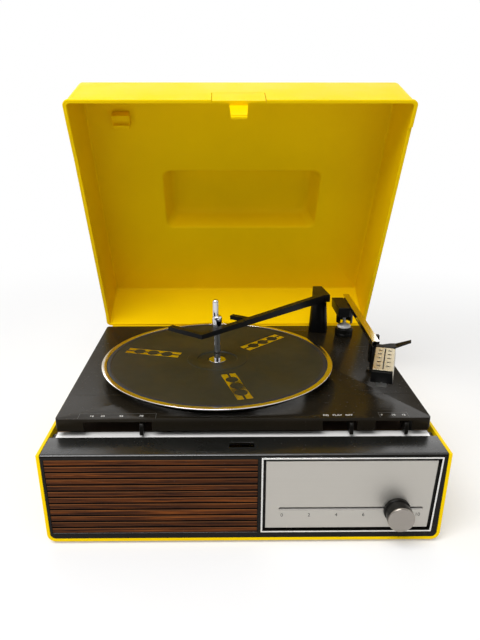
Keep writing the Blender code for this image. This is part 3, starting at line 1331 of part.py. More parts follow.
def make_headshell():
    """Headshell: black hollow body, slotted bright cover, cartridge under its front, finger lift."""
    half = SHELL_W / 2
    wide = half + SHELL_FLARE
    roof = -COVER_T - GAP
    shell = draft_block((-wide, wide), (-SHELL_L, 0.0), (-SHELL_H, roof), (-half, half), (-SHELL_L, 0.0))
    finish(shell, "headshell", SHELL, BLACK, smooth=False)
    inner = half - SHELL_WALL
    cut(shell, block((-inner, inner), (-SHELL_L + SHELL_WALL, -SHELL_WALL),
                     (-SHELL_H - OVER, roof - SHELL_WALL)))
    notch = STYLUS_R + 2 * RUN
    cut(shell, block((-notch, notch), (-SHELL_L - OVER, -SHELL_L + SHELL_WALL + OVER),
                     (-SHELL_H - OVER, -STYLUS_DROP + notch)))
    join(shell, block((-half, -half + TONGUE_W), (-SHELL_WALL, TONGUE_L), TONGUE_Z))
    front_edge = -SHELL_L + COVER_FRONT
    rear = front_edge + COVER_L
    cut(shell, block((half - COVER_T - GAP, wide + OVER), (front_edge - GAP, rear + GAP),
                     (-COVER_SIDE_H - GAP, OVER)))
    left = half - COVER_W
    cover = block((left, half), (front_edge, rear), (-COVER_T, 0.0))
    finish(cover, "headshell_cover", SHELL, BRUSHED, smooth=False)
    lean = SHELL_FLARE * COVER_SIDE_H / SHELL_H
    join(cover, draft_block((half - COVER_T + lean, half + lean), (front_edge, rear),
                            (-COVER_SIDE_H, -COVER_T / 2), (half - COVER_T, half), (front_edge, rear)))
    middle = (left + half) / 2
    cut(cover, block((middle - COVER_SLOT_W / 2, middle + COVER_SLOT_W / 2),
                     (front_edge + COVER_BRIDGE, rear - COVER_BRIDGE), (-COVER_T - OVER, OVER)))
    for side in (-1, 1):
        for row in range(VENT_ROWS):
            y = front_edge + OVAL_FIRST + row * OVAL_PITCH
            hole = circle(middle + side * OVAL_SPREAD, y, OVAL_W / 2, 8, OVAL_H / 2)
            cut(cover, plate([hole], -COVER_T - OVER, OVER))
    front = -SHELL_L + CARTRIDGE_BACK
    body = block((-CARTRIDGE_W / 2, CARTRIDGE_W / 2), (front, front + CARTRIDGE_L),
                 (roof - SHELL_WALL - GAP - CARTRIDGE_H, roof - SHELL_WALL - GAP))
    finish(body, "cartridge", SHELL, BLACK, smooth=False)
    groove = rod(STYLUS_GROOVE_R, -CARTRIDGE_L, CARTRIDGE_L, 16)
    lay(groove, "-Y")
    groove.location = (0.0, front + CARTRIDGE_L / 2, -STYLUS_DROP)
    cut(body, groove)
    finger = tapered_bar(FINGER_LINE, FINGER_TOPS, FINGER_WIDTHS, [FINGER_T] * len(FINGER_LINE))
    finish(finger, "finger_lift", SHELL, BLACK, smooth=False)


def make_stylus():
    """Turn-over stylus: a rod along the cartridge with its needle, and the tab that turns it."""
    axis = new_empty("stylus_axis", SHELL, (0.0, -SHELL_L, -STYLUS_DROP))
    needle_y = CARTRIDGE_BACK + CARTRIDGE_L / 3
    stem = rod(STYLUS_R, -CARTRIDGE_BACK - CARTRIDGE_L, TAB_L / 2, 12)
    lay(stem, "-Y")
    finish(stem, "stylus", axis, STEEL)
    tab = block((-TAB_W / 2, TAB_W / 2), (-TAB_L, -GAP), (-TAB_T / 2, TAB_T / 2))
    needle = rod(STYLUS_NEEDLE_R, -STYLUS_NEEDLE_H, 0.0, 8, (0.0, needle_y, 0.0))
    join(stem, tab, needle)


def make_arm_rest():
    """Arm rest: a slim post with a shelf under the tube, an outer lip and an inner tail."""
    foot = DECK_TOP + GAP
    share = (TUBE_FRONT - REST_FRONT) / (TUBE_FRONT + TUBE_REAR)
    shelf = TUBE_FRONT_Z + (TUBE_REAR_Z - TUBE_FRONT_Z) * share - TUBE_H / 2 - 2 * GAP
    under = shelf - REST_SHELF_T / 2
    rest = turned([(0.0, under), (REST_R, under), (REST_R, foot + REST_FOOT_T),
                   (REST_FOOT_R, foot + REST_FOOT_T), (REST_FOOT_R, foot), (0.0, foot)],
                  20, (REST_X, REST_Y, 0.0))
    finish(rest, "arm_rest", CASE, BLACK)
    x0 = REST_X - REST_SHELF_W / 2
    x1 = REST_X + REST_SHELF_W / 2
    y = (REST_Y - REST_D / 2, REST_Y + REST_D / 2)
    join(rest, block((x0, x1), y, (shelf - REST_SHELF_T, shelf)))
    lip = ARM_X + TUBE_RIGHT + TUBE_W / 2 + GAP
    join(rest, block((max(lip, x1 - REST_SHELF_T), x1), y, (shelf - REST_SHELF_T / 2, shelf + REST_LIP_H)))
    join(rest, block((x0, x0 + REST_SHELF_T / 2), y, (shelf - REST_TAIL_H, shelf - REST_SHELF_T / 2)))


LID = new_empty("lid_hinge", CASE, (0.0, HINGE_Y, HINGE_Z), (-LID_OPEN, 0.0, 0.0))


def make_lid():
    """Yellow lid shell in its closed frame, opened by its empty: draft, rim bead, outward recess."""
    lid = draft_block((-LID_HALF_W, LID_HALF_W), (-LID_FRONT_U, -LID_REAR_U), (0.0, LID_H),
                      (-LID_TOP_HALF_W, LID_TOP_HALF_W), (-LID_FRONT_TOP_U, -LID_REAR_TOP_U))
    finish(lid, "lid_shell", LID, YELLOW)
    bevel(lid, LID_ROUND, 3)
    bead_x = LID_HALF_W + BEAD_W
    bead = block((-bead_x, bead_x), (-LID_FRONT_U - BEAD_W, -LID_REAR_U), (0.0, BEAD_H))
    bevel(bead, BEAD_W, 2)
    low_u = RECESS_U0 - WALL
    high_u = RECESS_U1 + WALL
    bulge = draft_block((RECESS_X - RECESS_HALF_W - WALL, RECESS_X + RECESS_HALF_W + WALL),
                        (-high_u, -low_u),
                        (LID_H - WALL, LID_H + RECESS_DEPTH),
                        (RECESS_X - RECESS_FLOOR_HALF_W - WALL, RECESS_X + RECESS_FLOOR_HALF_W + WALL),
                        (-RECESS_FLOOR_U1 - WALL, -RECESS_FLOOR_U0 + WALL))
    bevel(bulge, RECESS_ROUND, 3)
    join(lid, bead, bulge)
    inner_top = LID_H - WALL
    inside = draft_block((-LID_HALF_W + WALL, LID_HALF_W - WALL), (-LID_FRONT_U + WALL, -LID_REAR_U - WALL),
                         (-OVER, inner_top), (-LID_TOP_HALF_W + WALL, LID_TOP_HALF_W - WALL),
                         (-LID_FRONT_TOP_U + WALL, -LID_REAR_TOP_U - WALL))
    bevel(inside, LID_ROUND - WALL / 2, 2)
    hollow = draft_block((RECESS_X - RECESS_HALF_W, RECESS_X + RECESS_HALF_W), (-RECESS_U1, -RECESS_U0),
                         (inner_top - 4 * OVER, LID_H + RECESS_DEPTH - WALL),
                         (RECESS_X - RECESS_FLOOR_HALF_W, RECESS_X + RECESS_FLOOR_HALF_W),
                         (-RECESS_FLOOR_U1, -RECESS_FLOOR_U0))
    bevel(hollow, RECESS_ROUND - WALL / 2, 3)
    cut(lid, inside, hollow)
    step = block((-bead_x - OVER, bead_x + OVER), (-RIM_STEP_U, -LID_REAR_U - WALL), (-OVER, RIM_STEP))
    cut(lid, step)
    notch = block((LATCH_X - LATCH_W / 2 - LATCH_SIDE_GAP, LATCH_X + LATCH_W / 2 + LATCH_SIDE_GAP),
                  (-LID_FRONT_U - OVER, -LATCH_TAB_U + 2 * WALL), (-OVER, LATCH_H + LATCH_SIDE_GAP))
    cut(lid, notch)


def make_latch():
    """Sprung latch in the lid's front wall: a leaning plate, and a tab that drops into the ledge slot."""
    lean = (LID_FRONT_U - LID_FRONT_TOP_U) / LID_H
    top_u = LID_FRONT_U - lean * LATCH_H
    axis = new_empty("latch_axis", LID, (0.0, -top_u + LATCH_T / 2, LATCH_H - LATCH_T / 2))
    shift = Vector((0.0, top_u - LATCH_T / 2, -LATCH_H + LATCH_T / 2))
    section = [(-LID_FRONT_U, 0.0), (-LID_FRONT_U + LATCH_T, 0.0), (-top_u + LATCH_T, LATCH_H),
               (-top_u, LATCH_H)]
    latch = plate([section], LATCH_X - LATCH_W / 2, LATCH_X + LATCH_W / 2, "X")
    latch.location = shift + Vector((LATCH_X, 0.0, 0.0))
    finish(latch, "lid_latch", axis, YELLOW, smooth=False)
    near = -LATCH_TAB_U - LATCH_TAB_T / 2
    far = -LATCH_TAB_U + LATCH_TAB_T / 2
    foot = block((LATCH_X - TAB_TOP_W / 2, LATCH_X + TAB_TOP_W / 2), (-LID_FRONT_U + LATCH_T / 2, far),
                 (0.0, LATCH_T))
    outline = [(LATCH_X - TAB_TOP_W / 2, LATCH_T / 2), (LATCH_X - TAB_END_W / 2, -LATCH_TAB_L),
               (LATCH_X + TAB_END_W / 2, -LATCH_TAB_L), (LATCH_X + TAB_TOP_W / 2, LATCH_T / 2)]
    tab = plate([outline], near, far, "Y")
    ridge = block((LATCH_X - TAB_END_W / 2, LATCH_X + TAB_END_W / 2),
                  (near - LATCH_RIDGE_H, near + LATCH_TAB_T / 2),
                  (LATCH_RIDGE_N - LATCH_T, LATCH_RIDGE_N))
    for tool in (foot, tab, ridge):
        tool.location = tool.location + shift
        join(latch, tool)


def make_clip():
    """Spindle clip moulded as a separate holder on the lid's inner face."""
    high = LID_H - WALL - GAP
    clip = block((CLIP_X - CLIP_W / 2, CLIP_X + CLIP_W / 2), (-CLIP_U - CLIP_L / 2, -CLIP_U + CLIP_L / 2),
                 (high - CLIP_H, high))
    finish(clip, "spindle_clip", LID, YELLOW)
    bevel(clip, CLIP_GROOVE_R / 4, 2)
    groove = rod(CLIP_GROOVE_R, -CLIP_W, CLIP_W, 20)
    lay(groove, "+X")
    groove.location = (CLIP_X, -CLIP_U, high - CLIP_H + CLIP_GROOVE_R / 2)
    cut(clip, groove)


def make_hinges():
    """Two barrel hinges behind the case: a fixed leaf with its pin, and a leaf that turns with the lid."""
    half = HINGE_LEAF_W / 2
    middle = HINGE_KNUCKLE_W / 2
    back = CASE_DEPTH + GAP
    for side, name in ((-1, "left"), (1, "right")):
        x = side * HINGE_X
        leaf = block((x - half, x + half), (back, back + HINGE_LEAF_T),
                     (RIM_H - HINGE_LEAF_H, RIM_H - HINGE_BARREL_R / 2))
        finish(leaf, "hinge_fixed_" + name, CASE, STEEL, smooth=False)
        clear = HINGE_BARREL_R + 2 * GAP
        for edge in (-1, 1):
            sides = sorted((x + edge * (middle - GAP), x + edge * (half + OVER)))
            tool = rod(clear, sides[0], sides[1], 24)
            lay(tool, "+X")
            tool.location = (0.0, HINGE_Y, HINGE_Z)
            cut(leaf, tool)
        barrel = rod(HINGE_BARREL_R, x - middle + GAP, x + middle - GAP, 24)
        pin = rod(HINGE_PIN_R, x - half, x + half, 16)
        for tool in (barrel, pin):
            lay(tool, "+X")
            tool.location = (0.0, HINGE_Y, HINGE_Z)
            join(leaf, tool)
        lid_u = LID_REAR_U - GAP
        top = block((x - half, x + half), (-lid_u, -lid_u + HINGE_LEAF_T),
                    (RIM_STEP + BEAD_H, HINGE_LEAF_H))
        finish(top, "hinge_lid_" + name, LID, STEEL, smooth=False)
        for edge in (-1, 1):
            sides = sorted((x + edge * (middle + GAP), x + edge * half))
            knuckle = rod(HINGE_BARREL_R, sides[0], sides[1], 24)
            lay(knuckle, "+X")
            web = block(sides, (-lid_u, -lid_u + HINGE_LEAF_T), (0.0, HINGE_LEAF_H / 2))
            join(top, knuckle, web)
        bore = rod(HINGE_PIN_R + RUN, x - half - OVER, x + half + OVER, 16)
        lay(bore, "+X")
        cut(top, bore)


def world_box():
    """Lowest and highest corner of every part as the viewport shows it."""
    bpy.context.view_layer.update()
    graph = bpy.context.evaluated_depsgraph_get()
    low = Vector((math.inf, math.inf, math.inf))
    high = -low
    for piece in PARTS.objects:
        if piece.type != "MESH":
            continue
        evaluated = piece.evaluated_get(graph)
        for vertex in evaluated.to_mesh().vertices:
            place = piece.matrix_world @ vertex.co
            low = Vector(map(min, low, place))
            high = Vector(map(max, high, place))
        evaluated.to_mesh_clear()
    return low, high


def main():
    """Build every sub-part, then centre the model on its own box, feet on the ground."""
    make_tray()
    make_feet()
    make_gland()
    make_fascia()
    make_strip()
    make_grille()
    make_panel()
    make_volume()
    make_deck()
    make_levers()
    make_board()
    make_platter()
    make_mat()
    make_spindle()
    make_idler()
    make_motor()
    make_speaker()
    make_amplifier()
    make_keeper()
    make_overarm()
    make_tonearm_base()
    make_turret()
    make_arm_tube()
    make_headshell()
    make_stylus()
    make_arm_rest()
    make_lid()
    make_latch()
    make_clip()
    make_hinges()
    low, high = world_box()
    CASE.location = (-(low.x + high.x) / 2, -(low.y + high.y) / 2, -low.z)
    bpy.context.view_layer.update()
    print("size", [round(value, 4) for value in high - low])
    print("case moved by", [round(value, 5) for value in CASE.location])


main()
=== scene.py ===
# %% [markdown]
# # Portable record player
# This lesson dresses a finished CAD model, so that it looks like a photographed player: golden
# plastic case, black changer deck, bright platter and wood-look grille. The solids come in as a
# fixed frame. Each cell gives one piece or one finish, and says why it is made that way.

import json
import math

import bmesh
import bpy
import numpy as np
from mathutils import Matrix, Vector

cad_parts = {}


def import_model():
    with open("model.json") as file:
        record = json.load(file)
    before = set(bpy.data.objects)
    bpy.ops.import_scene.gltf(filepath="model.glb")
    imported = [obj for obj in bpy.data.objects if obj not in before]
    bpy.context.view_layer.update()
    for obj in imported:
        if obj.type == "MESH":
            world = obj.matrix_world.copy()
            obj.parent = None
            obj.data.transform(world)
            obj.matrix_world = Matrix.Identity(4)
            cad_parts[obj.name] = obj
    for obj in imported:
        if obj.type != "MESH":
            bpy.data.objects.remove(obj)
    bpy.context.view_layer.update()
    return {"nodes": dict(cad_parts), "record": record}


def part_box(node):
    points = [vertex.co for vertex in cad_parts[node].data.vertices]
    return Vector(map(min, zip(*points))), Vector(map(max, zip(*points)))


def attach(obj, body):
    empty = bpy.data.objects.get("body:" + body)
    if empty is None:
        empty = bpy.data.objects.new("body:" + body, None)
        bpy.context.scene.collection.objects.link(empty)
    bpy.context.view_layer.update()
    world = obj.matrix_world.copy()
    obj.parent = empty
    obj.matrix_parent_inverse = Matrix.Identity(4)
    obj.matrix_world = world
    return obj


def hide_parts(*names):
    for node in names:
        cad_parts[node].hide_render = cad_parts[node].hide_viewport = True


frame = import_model()
nodes = frame["nodes"]

# %% [markdown]
# The designer drew the case from its own front lower edge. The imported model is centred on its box
# instead. Two numbers lead from one frame to the other, and they are read off the tray.

# %% Case frame
tray_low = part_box("base_tray")[0]
CASE_Y, CASE_Z = tray_low.y, tray_low.z


def world(points):
    """Case frame to world: adds the tray's front edge to y and its underside to z."""
    return np.asarray(points, float) + np.array([0.0, CASE_Y, CASE_Z])


print("case front edge and underside", round(CASE_Y, 5), round(CASE_Z, 5))

# %% [markdown]
# The camera stands where the photographer stood: just left of the middle, 47 cm in front and
# 37 cm up, looking down 18 degrees. Place, tilt and lens were solved from the case's corners and
# the platter's rim, so that shapes line up with the picture. The tiny shift is the picture's crop.

# %% Camera
EYE = (-0.01779, -0.47175, 0.36961)
PITCH = math.radians(18.044)
YAW = math.radians(0.573)
FOCAL_PIXELS = 604.84
CENTRE_X = 229.94
PICTURE = (480, 640)

ahead = Vector((math.sin(YAW) * math.cos(PITCH), math.cos(YAW) * math.cos(PITCH), -math.sin(PITCH)))
lens = bpy.data.cameras.new("camera")
lens.sensor_width = 36.0
lens.lens = FOCAL_PIXELS * lens.sensor_width / PICTURE[1]
lens.shift_x = (PICTURE[0] / 2 - CENTRE_X) / PICTURE[1]
lens.clip_start = 0.01
camera = bpy.data.objects.new("camera", lens)
bpy.context.scene.collection.objects.link(camera)
camera.location = world(EYE)
camera.rotation_euler = ahead.to_track_quat("-Z", "Y").to_euler()
bpy.context.scene.camera = camera
print("lens", round(lens.lens, 2), "mm")

# %% [markdown]
# Room, floor and finishes are all small graphs of shader nodes. These helpers add one node each and
# fill its inputs, so that a graph reads like a formula. `maths` is one sum, `remap` stretches a
# range, `noise` is one noise value, and a value may be a constant or another node's output.

# %% Shader helpers


def link_object(name, data):
    """Put an object with this data in the scene."""
    made = bpy.data.objects.new(name, data)
    bpy.context.scene.collection.objects.link(made)
    return made


def grey(level):
    """An opaque grey."""
    return (level, level, level, 1.0)


def put(tree, slot, value):
    """Join an output to an input, or set the input to a constant."""
    if isinstance(value, bpy.types.NodeSocket):
        tree.links.new(value, slot)
    else:
        slot.default_value = value


def fill(tree, node, **values):
    """Fill a node's inputs by name, where _ stands for a space. Returns the node's outputs."""
    for label, value in values.items():
        put(tree, node.inputs[label.replace("_", " ")], value)
    return node.outputs


def add_node(tree, kind, **values):
    """Add one shader node and fill it. Returns its outputs."""
    return fill(tree, tree.nodes.new("ShaderNode" + kind), **values)


def join_shaders(tree, kind, *parts):
    """An AddShader or MixShader node from its inputs in order."""
    node = tree.nodes.new("ShaderNode" + kind)
    for slot, part in zip(node.inputs, parts):
        put(tree, slot, part)
    return node.outputs[0]


def maths(tree, operation, *operands, kind="Math"):
    """One Math or VectorMath node. A length is a value; other vector sums are vectors."""
    node = tree.nodes.new("ShaderNode" + kind)
    node.operation = operation
    for slot, value in zip(node.inputs, operands):
        put(tree, slot, value)
    return node.outputs["Value" if kind == "Math" or operation == "LENGTH" else "Vector"]


def noise(tree, vector, scale, detail=3.0, roughness=0.55, distortion=0.0):
    """One 3D noise value."""
    return add_node(tree, "TexNoise", Vector=vector, Scale=scale, Detail=detail, Roughness=roughness,
                    Distortion=distortion)["Fac"]


def remap(tree, value, low, high, to_low, to_high, smooth=False):
    """Map Range: low..high becomes to_low..to_high, held at the ends."""
    node = tree.nodes.new("ShaderNodeMapRange")
    node.interpolation_type = "SMOOTHSTEP" if smooth else "LINEAR"
    return fill(tree, node, Value=value, From_Min=low, From_Max=high, To_Min=to_low, To_Max=to_high)["Result"]


def blend_colours(tree, factor, first, second, mode="MIX"):
    """Blend two colours. Each is a socket or four numbers."""
    node = tree.nodes.new("ShaderNodeMix")
    node.data_type = "RGBA"
    node.blend_type = mode
    for index, value in ((0, factor), (6, first), (7, second)):
        put(tree, node.inputs[index], value)
    return node.outputs[2]


# %% [markdown]
# The studio is white on every side, which is what makes black plastic look like plastic: its
# edges mirror the white room. One wide soft lamp gives the light a direction. The room's own
# light on the object is weaker than the white that the camera and the reflections see.

# %% Room and lamps
bpy.context.scene.view_settings.view_transform = "Standard"
ROOM_LIGHT = 0.36
LAMP_WATTS = 45.0
BACKDROP_WATTS = 24.0

room = bpy.data.worlds.new("white_room")
bpy.context.scene.world = room
room.use_nodes = True
tree = room.node_tree
tree.nodes.clear()
rays = add_node(tree, "LightPath")
seen = maths(tree, "MAXIMUM", rays["Is Camera Ray"], rays["Is Glossy Ray"])
seen = maths(tree, "MAXIMUM", seen, rays["Is Transmission Ray"])
strength = remap(tree, seen, 0.0, 1.0, ROOM_LIGHT, 1.0)
white = add_node(tree, "Background", Color=grey(1.0), Strength=strength)
add_node(tree, "OutputWorld", Surface=white["Background"])


def soft_lamp(name, place, target, size, watts):
    """A rectangular area lamp (width, height) aimed at a point."""
    light = bpy.data.lights.new(name, "AREA")
    light.shape = "RECTANGLE"
    light.size, light.size_y = size
    light.energy = watts
    lamp = link_object(name, light)
    lamp.location = place
    lamp.rotation_euler = (Vector(target) - Vector(place)).to_track_quat("-Z", "Y").to_euler()
    return lamp


AIM = (0.0, 0.0, 0.20)
soft_lamp("softbox_above", (-0.48, -1.12, 1.76), AIM, (1.6, 1.0), LAMP_WATTS)
backdrop = soft_lamp("lit_backdrop", (0.0, 1.9, 0.85), AIM, (3.4, 1.5), BACKDROP_WATTS)
backdrop.visible_camera = False
print("lamps", LAMP_WATTS, "and", BACKDROP_WATTS, "W")

# %% [markdown]
# Dark cards stand where only reflections see them. One is behind the camera, so that chrome and
# the black fronts of the arms have something dark to mirror. Two grey ones are low behind the
# case's sides: without them the deck mirrors the white room, and the photograph's deck is dark.

# %% Dark cards


def bare_material(name):
    """A material with an empty node tree, for surfaces that aren't a finish."""
    made = bpy.data.materials.new(name)
    made.use_nodes = True
    made.node_tree.nodes.clear()
    return made, made.node_tree


def stage_sheet(name, corners, material):
    """A flat four-cornered sheet that belongs to the stage, not to the part."""
    data = bpy.data.meshes.new(name)
    data.from_pydata(corners, [], [(0, 1, 2, 3)])
    data.materials.append(material)
    sheet = link_object(name, data)
    return sheet


def dark_card(name, left, right, y, low, high, tone):
    """An upright card across the room that shows in reflections only."""
    cloth, tree = bare_material(name)
    add_node(tree, "OutputMaterial", Surface=add_node(tree, "Emission", Color=(*tone, 1.0))[0])
    card = stage_sheet(name, [(left, y, low), (right, y, low), (right, y, high), (left, y, high)], cloth)
    card.visible_camera = False
    card.visible_diffuse = False
    card.visible_transmission = False
    card.visible_shadow = False


dark_card("card_behind_camera", -1.2, 1.2, -1.45, 0.02, 1.25, (0.02, 0.02, 0.02))
dark_card("card_rear_right", 0.24, 2.2, 0.80, 0.0, 0.46, (0.10, 0.085, 0.06))
dark_card("card_rear_left", -2.2, -0.24, 0.80, 0.0, 0.52, (0.58, 0.52, 0.42))

# %% [markdown]
# The floor has to be white in the picture and still hold a soft shadow. For the camera it is
# part glow and part matt paper: the glow lifts it to white, and the shadow darkens the matt part.
# Away from the case the glow takes over, so the floor runs into the white room without a line.
# For every other ray it is plain matt paper, and its bounce lights the inside of the lid.

# %% Floor
FLOOR_HALF = 5.0
FLOOR_GLOW = 0.27
FLOOR_MATT = 0.62
FLOOR_BOUNCE = 0.72
FADE_FROM, FADE_TO = 0.55, 1.10

paper, tree = bare_material("white_paper")
rays = add_node(tree, "LightPath")
seen = maths(tree, "MAXIMUM", rays["Is Camera Ray"], rays["Is Transmission Ray"])
matt = add_node(tree, "BsdfDiffuse", Color=grey(FLOOR_MATT))[0]
glow = add_node(tree, "Emission", Strength=FLOOR_GLOW)[0]
near = join_shaders(tree, "AddShader", matt, glow)
away = maths(tree, "LENGTH", add_node(tree, "TexCoord")["Object"], kind="VectorMath")
fade = remap(tree, away, FADE_FROM, FADE_TO, 0.0, 1.0, smooth=True)
lit = join_shaders(tree, "MixShader", fade, near, add_node(tree, "Emission")[0])
pale = add_node(tree, "BsdfDiffuse", Color=grey(FLOOR_BOUNCE))[0]
add_node(tree, "OutputMaterial", Surface=join_shaders(tree, "MixShader", seen, pale, lit))
around = ((-1, -1), (1, -1), (1, 1), (-1, 1))
stage_sheet("floor", [(x * FLOOR_HALF, y * FLOOR_HALF, 0.0) for x, y in around], paper)
print("floor", 2 * FLOOR_HALF, "m wide")

# %% [markdown]
# ## Finishes
# Several finishes share an effect, so each effect is a node group that is built once. A group
# only works out colours, masks and heights. The shader itself stays in each material, with its
# constant numbers typed on its own sockets.

# %% Group helper


def new_group(name, inputs, outputs):
    """A shader node group with typed inputs {name: (type, default)} and outputs {name: type}.
    Returns the group, the outputs of its start and its end node."""
    made = bpy.data.node_groups.new(name, "ShaderNodeTree")
    for label, (kind, value) in inputs.items():
        socket = made.interface.new_socket(name=label, in_out="INPUT", socket_type="NodeSocket" + kind)
        if value is not None:
            socket.default_value = value
    for label, kind in outputs.items():
        made.interface.new_socket(name=label, in_out="OUTPUT", socket_type="NodeSocket" + kind)
    return made, made.nodes.new("NodeGroupInput").outputs, made.nodes.new("NodeGroupOutput")


def separate(tree, vector):
    """The X, Y and Z of a vector."""
    return add_node(tree, "SeparateXYZ", Vector=vector)


# %% [markdown]
# Moulded plastic is never one flat colour. The skin has a fine grain from the tool, the colour
# drifts a little from flow and handling, and grease makes some places glossier. The group gives
# those three from two sizes of noise.

# %% Moulded skin group
moulded_skin, start, end = new_group(
    "moulded_skin",
    {"Vector": ("Vector", None), "Light Tone": ("Color", grey(1.0)), "Dark Tone": ("Color", grey(0.0)),
     "Grain Scale": ("Float", 900.0), "Gloss Low": ("Float", 0.3), "Gloss High": ("Float", 0.45)},
    {"Color": "Color", "Roughness": "Float", "Height": "Float"})
drift = noise(moulded_skin, start["Vector"], 9.0)
grain = noise(moulded_skin, start["Vector"], start["Grain Scale"], 2.0)
smear = noise(moulded_skin, start["Vector"], 26.0, 4.0)
tone = remap(moulded_skin, drift, 0.35, 0.65, 0.0, 1.0)
fill(moulded_skin, end, Height=grain,
     Color=blend_colours(moulded_skin, tone, start["Dark Tone"], start["Light Tone"]),
     Roughness=remap(moulded_skin, smear, 0.35, 0.65, start["Gloss Low"], start["Gloss High"]))
print("group", moulded_skin.name)

# %% [markdown]
# Brushed metal carries long scratches in one direction. Noise that is stretched a hundred times
# along that direction gives both their height and the slight change of gloss from line to line.

# %% Brushed metal group
brushed_lines, start, end = new_group(
    "brushed_lines",
    {"Vector": ("Vector", None), "Stretch": ("Vector", (4.0, 700.0, 700.0)), "Gloss Low": ("Float", 0.25),
     "Gloss High": ("Float", 0.4), "Light Tone": ("Color", grey(1.0)), "Dark Tone": ("Color", grey(0.0))},
    {"Color": "Color", "Roughness": "Float", "Height": "Float"})
stretched = maths(brushed_lines, "MULTIPLY", start["Vector"], start["Stretch"], kind="VectorMath")
lines = noise(brushed_lines, stretched, 1.0, 4.0, 0.65)
fill(brushed_lines, end, Height=lines,
     Color=blend_colours(brushed_lines, lines, start["Dark Tone"], start["Light Tone"]),
     Roughness=remap(brushed_lines, lines, 0.3, 0.7, start["Gloss Low"], start["Gloss High"]))
print("group", brushed_lines.name)

# %% [markdown]
# A part that is turned on a lathe, or a mat that is moulded from a turned tool, has rings round
# its axis. The group measures the distance from a centre line and makes a fine ring profile from it.

# %% Turned rings group
turned_rings, start, end = new_group(
    "turned_rings",
    {"Vector": ("Vector", None), "Centre": ("Vector", (0, 0, 0)), "Keep": ("Vector", (1, 1, 0)),
     "Pitch": ("Float", 0.0006)},
    {"Height": "Float", "Radius": "Float"})
tree = turned_rings
offset = maths(tree, "SUBTRACT", start["Vector"], start["Centre"], kind="VectorMath")
flat = maths(tree, "MULTIPLY", offset, start["Keep"], kind="VectorMath")
radius = maths(tree, "LENGTH", flat, kind="VectorMath")
turns = maths(tree, "MULTIPLY", maths(tree, "DIVIDE", radius, start["Pitch"]), math.tau)
fill(tree, end, Height=remap(tree, maths(tree, "SINE", turns), -1.0, 1.0, 0.0, 1.0), Radius=radius)
print("group", turned_rings.name)

# %% [markdown]
# The grille only looks like wood: it is a moulding with a printed rosewood figure. Each rib shows
# its own piece of grain, so the group slides the pattern sideways by a random step per rib, and
# stretches the noise along the rib. The grooves between ribs are black, a thin band along each
# rib's lower edge is painted dark as shade, and each rib's upper edge is painted paler as a
# highlight.

# %% Wood figure group
RIB_PITCH = 0.00645
RIB_HEIGHT = 0.0052

wood_figure, start, end = new_group(
    "wood_figure",
    {"Vector": ("Vector", None), "Rib Pitch": ("Float", RIB_PITCH), "First Rib": ("Float", 0.0),
     "Groove Y": ("Float", 0.0), "Rib Share": ("Float", 0.8)},
    {"Color": "Color", "Height": "Float", "Groove": "Float"})
tree = wood_figure
parts = separate(tree, start["Vector"])
steps_up = maths(tree, "DIVIDE", maths(tree, "SUBTRACT", parts["Z"], start["First Rib"]), start["Rib Pitch"])
row = maths(tree, "FLOOR", steps_up)
phase = maths(tree, "DIVIDE", maths(tree, "SUBTRACT", steps_up, row), start["Rib Share"])
dice = tree.nodes.new("ShaderNodeTexWhiteNoise")
dice.noise_dimensions = "1D"
slide = maths(tree, "MULTIPLY", fill(tree, dice, W=row)["Value"], 7.0)
along = maths(tree, "ADD", maths(tree, "MULTIPLY", parts["X"], 16.0), slide)
place = add_node(tree, "CombineXYZ", X=along, Z=maths(tree, "MULTIPLY", parts["Z"], 620.0))[0]
fibre = noise(tree, place, 1.0, 5.0, 0.62, 0.7)
ramp = tree.nodes.new("ShaderNodeValToRGB")
stops = ((0.30, (0.012, 0.003, 0.001)), (0.42, (0.052, 0.013, 0.002)), (0.52, (0.115, 0.030, 0.004)),
         (0.62, (0.220, 0.058, 0.007)), (0.78, (0.36, 0.110, 0.016)))
while len(ramp.color_ramp.elements) < len(stops):
    ramp.color_ramp.elements.new(0.5)
for element, (position, colour) in zip(ramp.color_ramp.elements, stops):
    element.position = position
    element.color = (*colour, 1.0)
patch = remap(tree, noise(tree, place, 0.11, 2.0), 0.4, 0.65, 0.35, 1.0)
patchy = add_node(tree, "CombineColor", Red=patch, Green=patch, Blue=patch)[0]
shaded = blend_colours(tree, 1.0, fill(tree, ramp, Fac=fibre)["Color"], patchy, "MULTIPLY")
deep = remap(tree, maths(tree, "SUBTRACT", parts["Y"], start["Groove Y"]), 0.0, 0.0002, 0.0, 1.0)
groove_and_edge_shade = maths(tree, "MAXIMUM", deep, remap(tree, phase, 0.94, 0.97, 0.0, 1.0))
# Painted shade: a thin band at each rib's lower edge is blackened together with the grooves.
groove_and_edge_shade = maths(tree, "MAXIMUM", groove_and_edge_shade, remap(tree, phase, 0.03, 0.06, 1.0, 0.0))
# Painted highlight: a band along each rib's upper edge is made paler.
painted_edge_highlight = remap(tree, phase, 0.80, 0.88, 0.0, 0.40)
with_edge_highlight = blend_colours(tree, painted_edge_highlight, shaded, (0.36, 0.135, 0.035, 1))
fill(tree, end, Color=blend_colours(tree, groove_and_edge_shade, with_edge_highlight, grey(0.002)), Height=fibre, Groove=groove_and_edge_shade)
print("group", wood_figure.name)

# %% [markdown]
# A used player has a little dust on its level faces and faint hairlines from hands. The group
# makes sparse specks and hairlines, to be added to the roughness and, very weakly, to the colour.

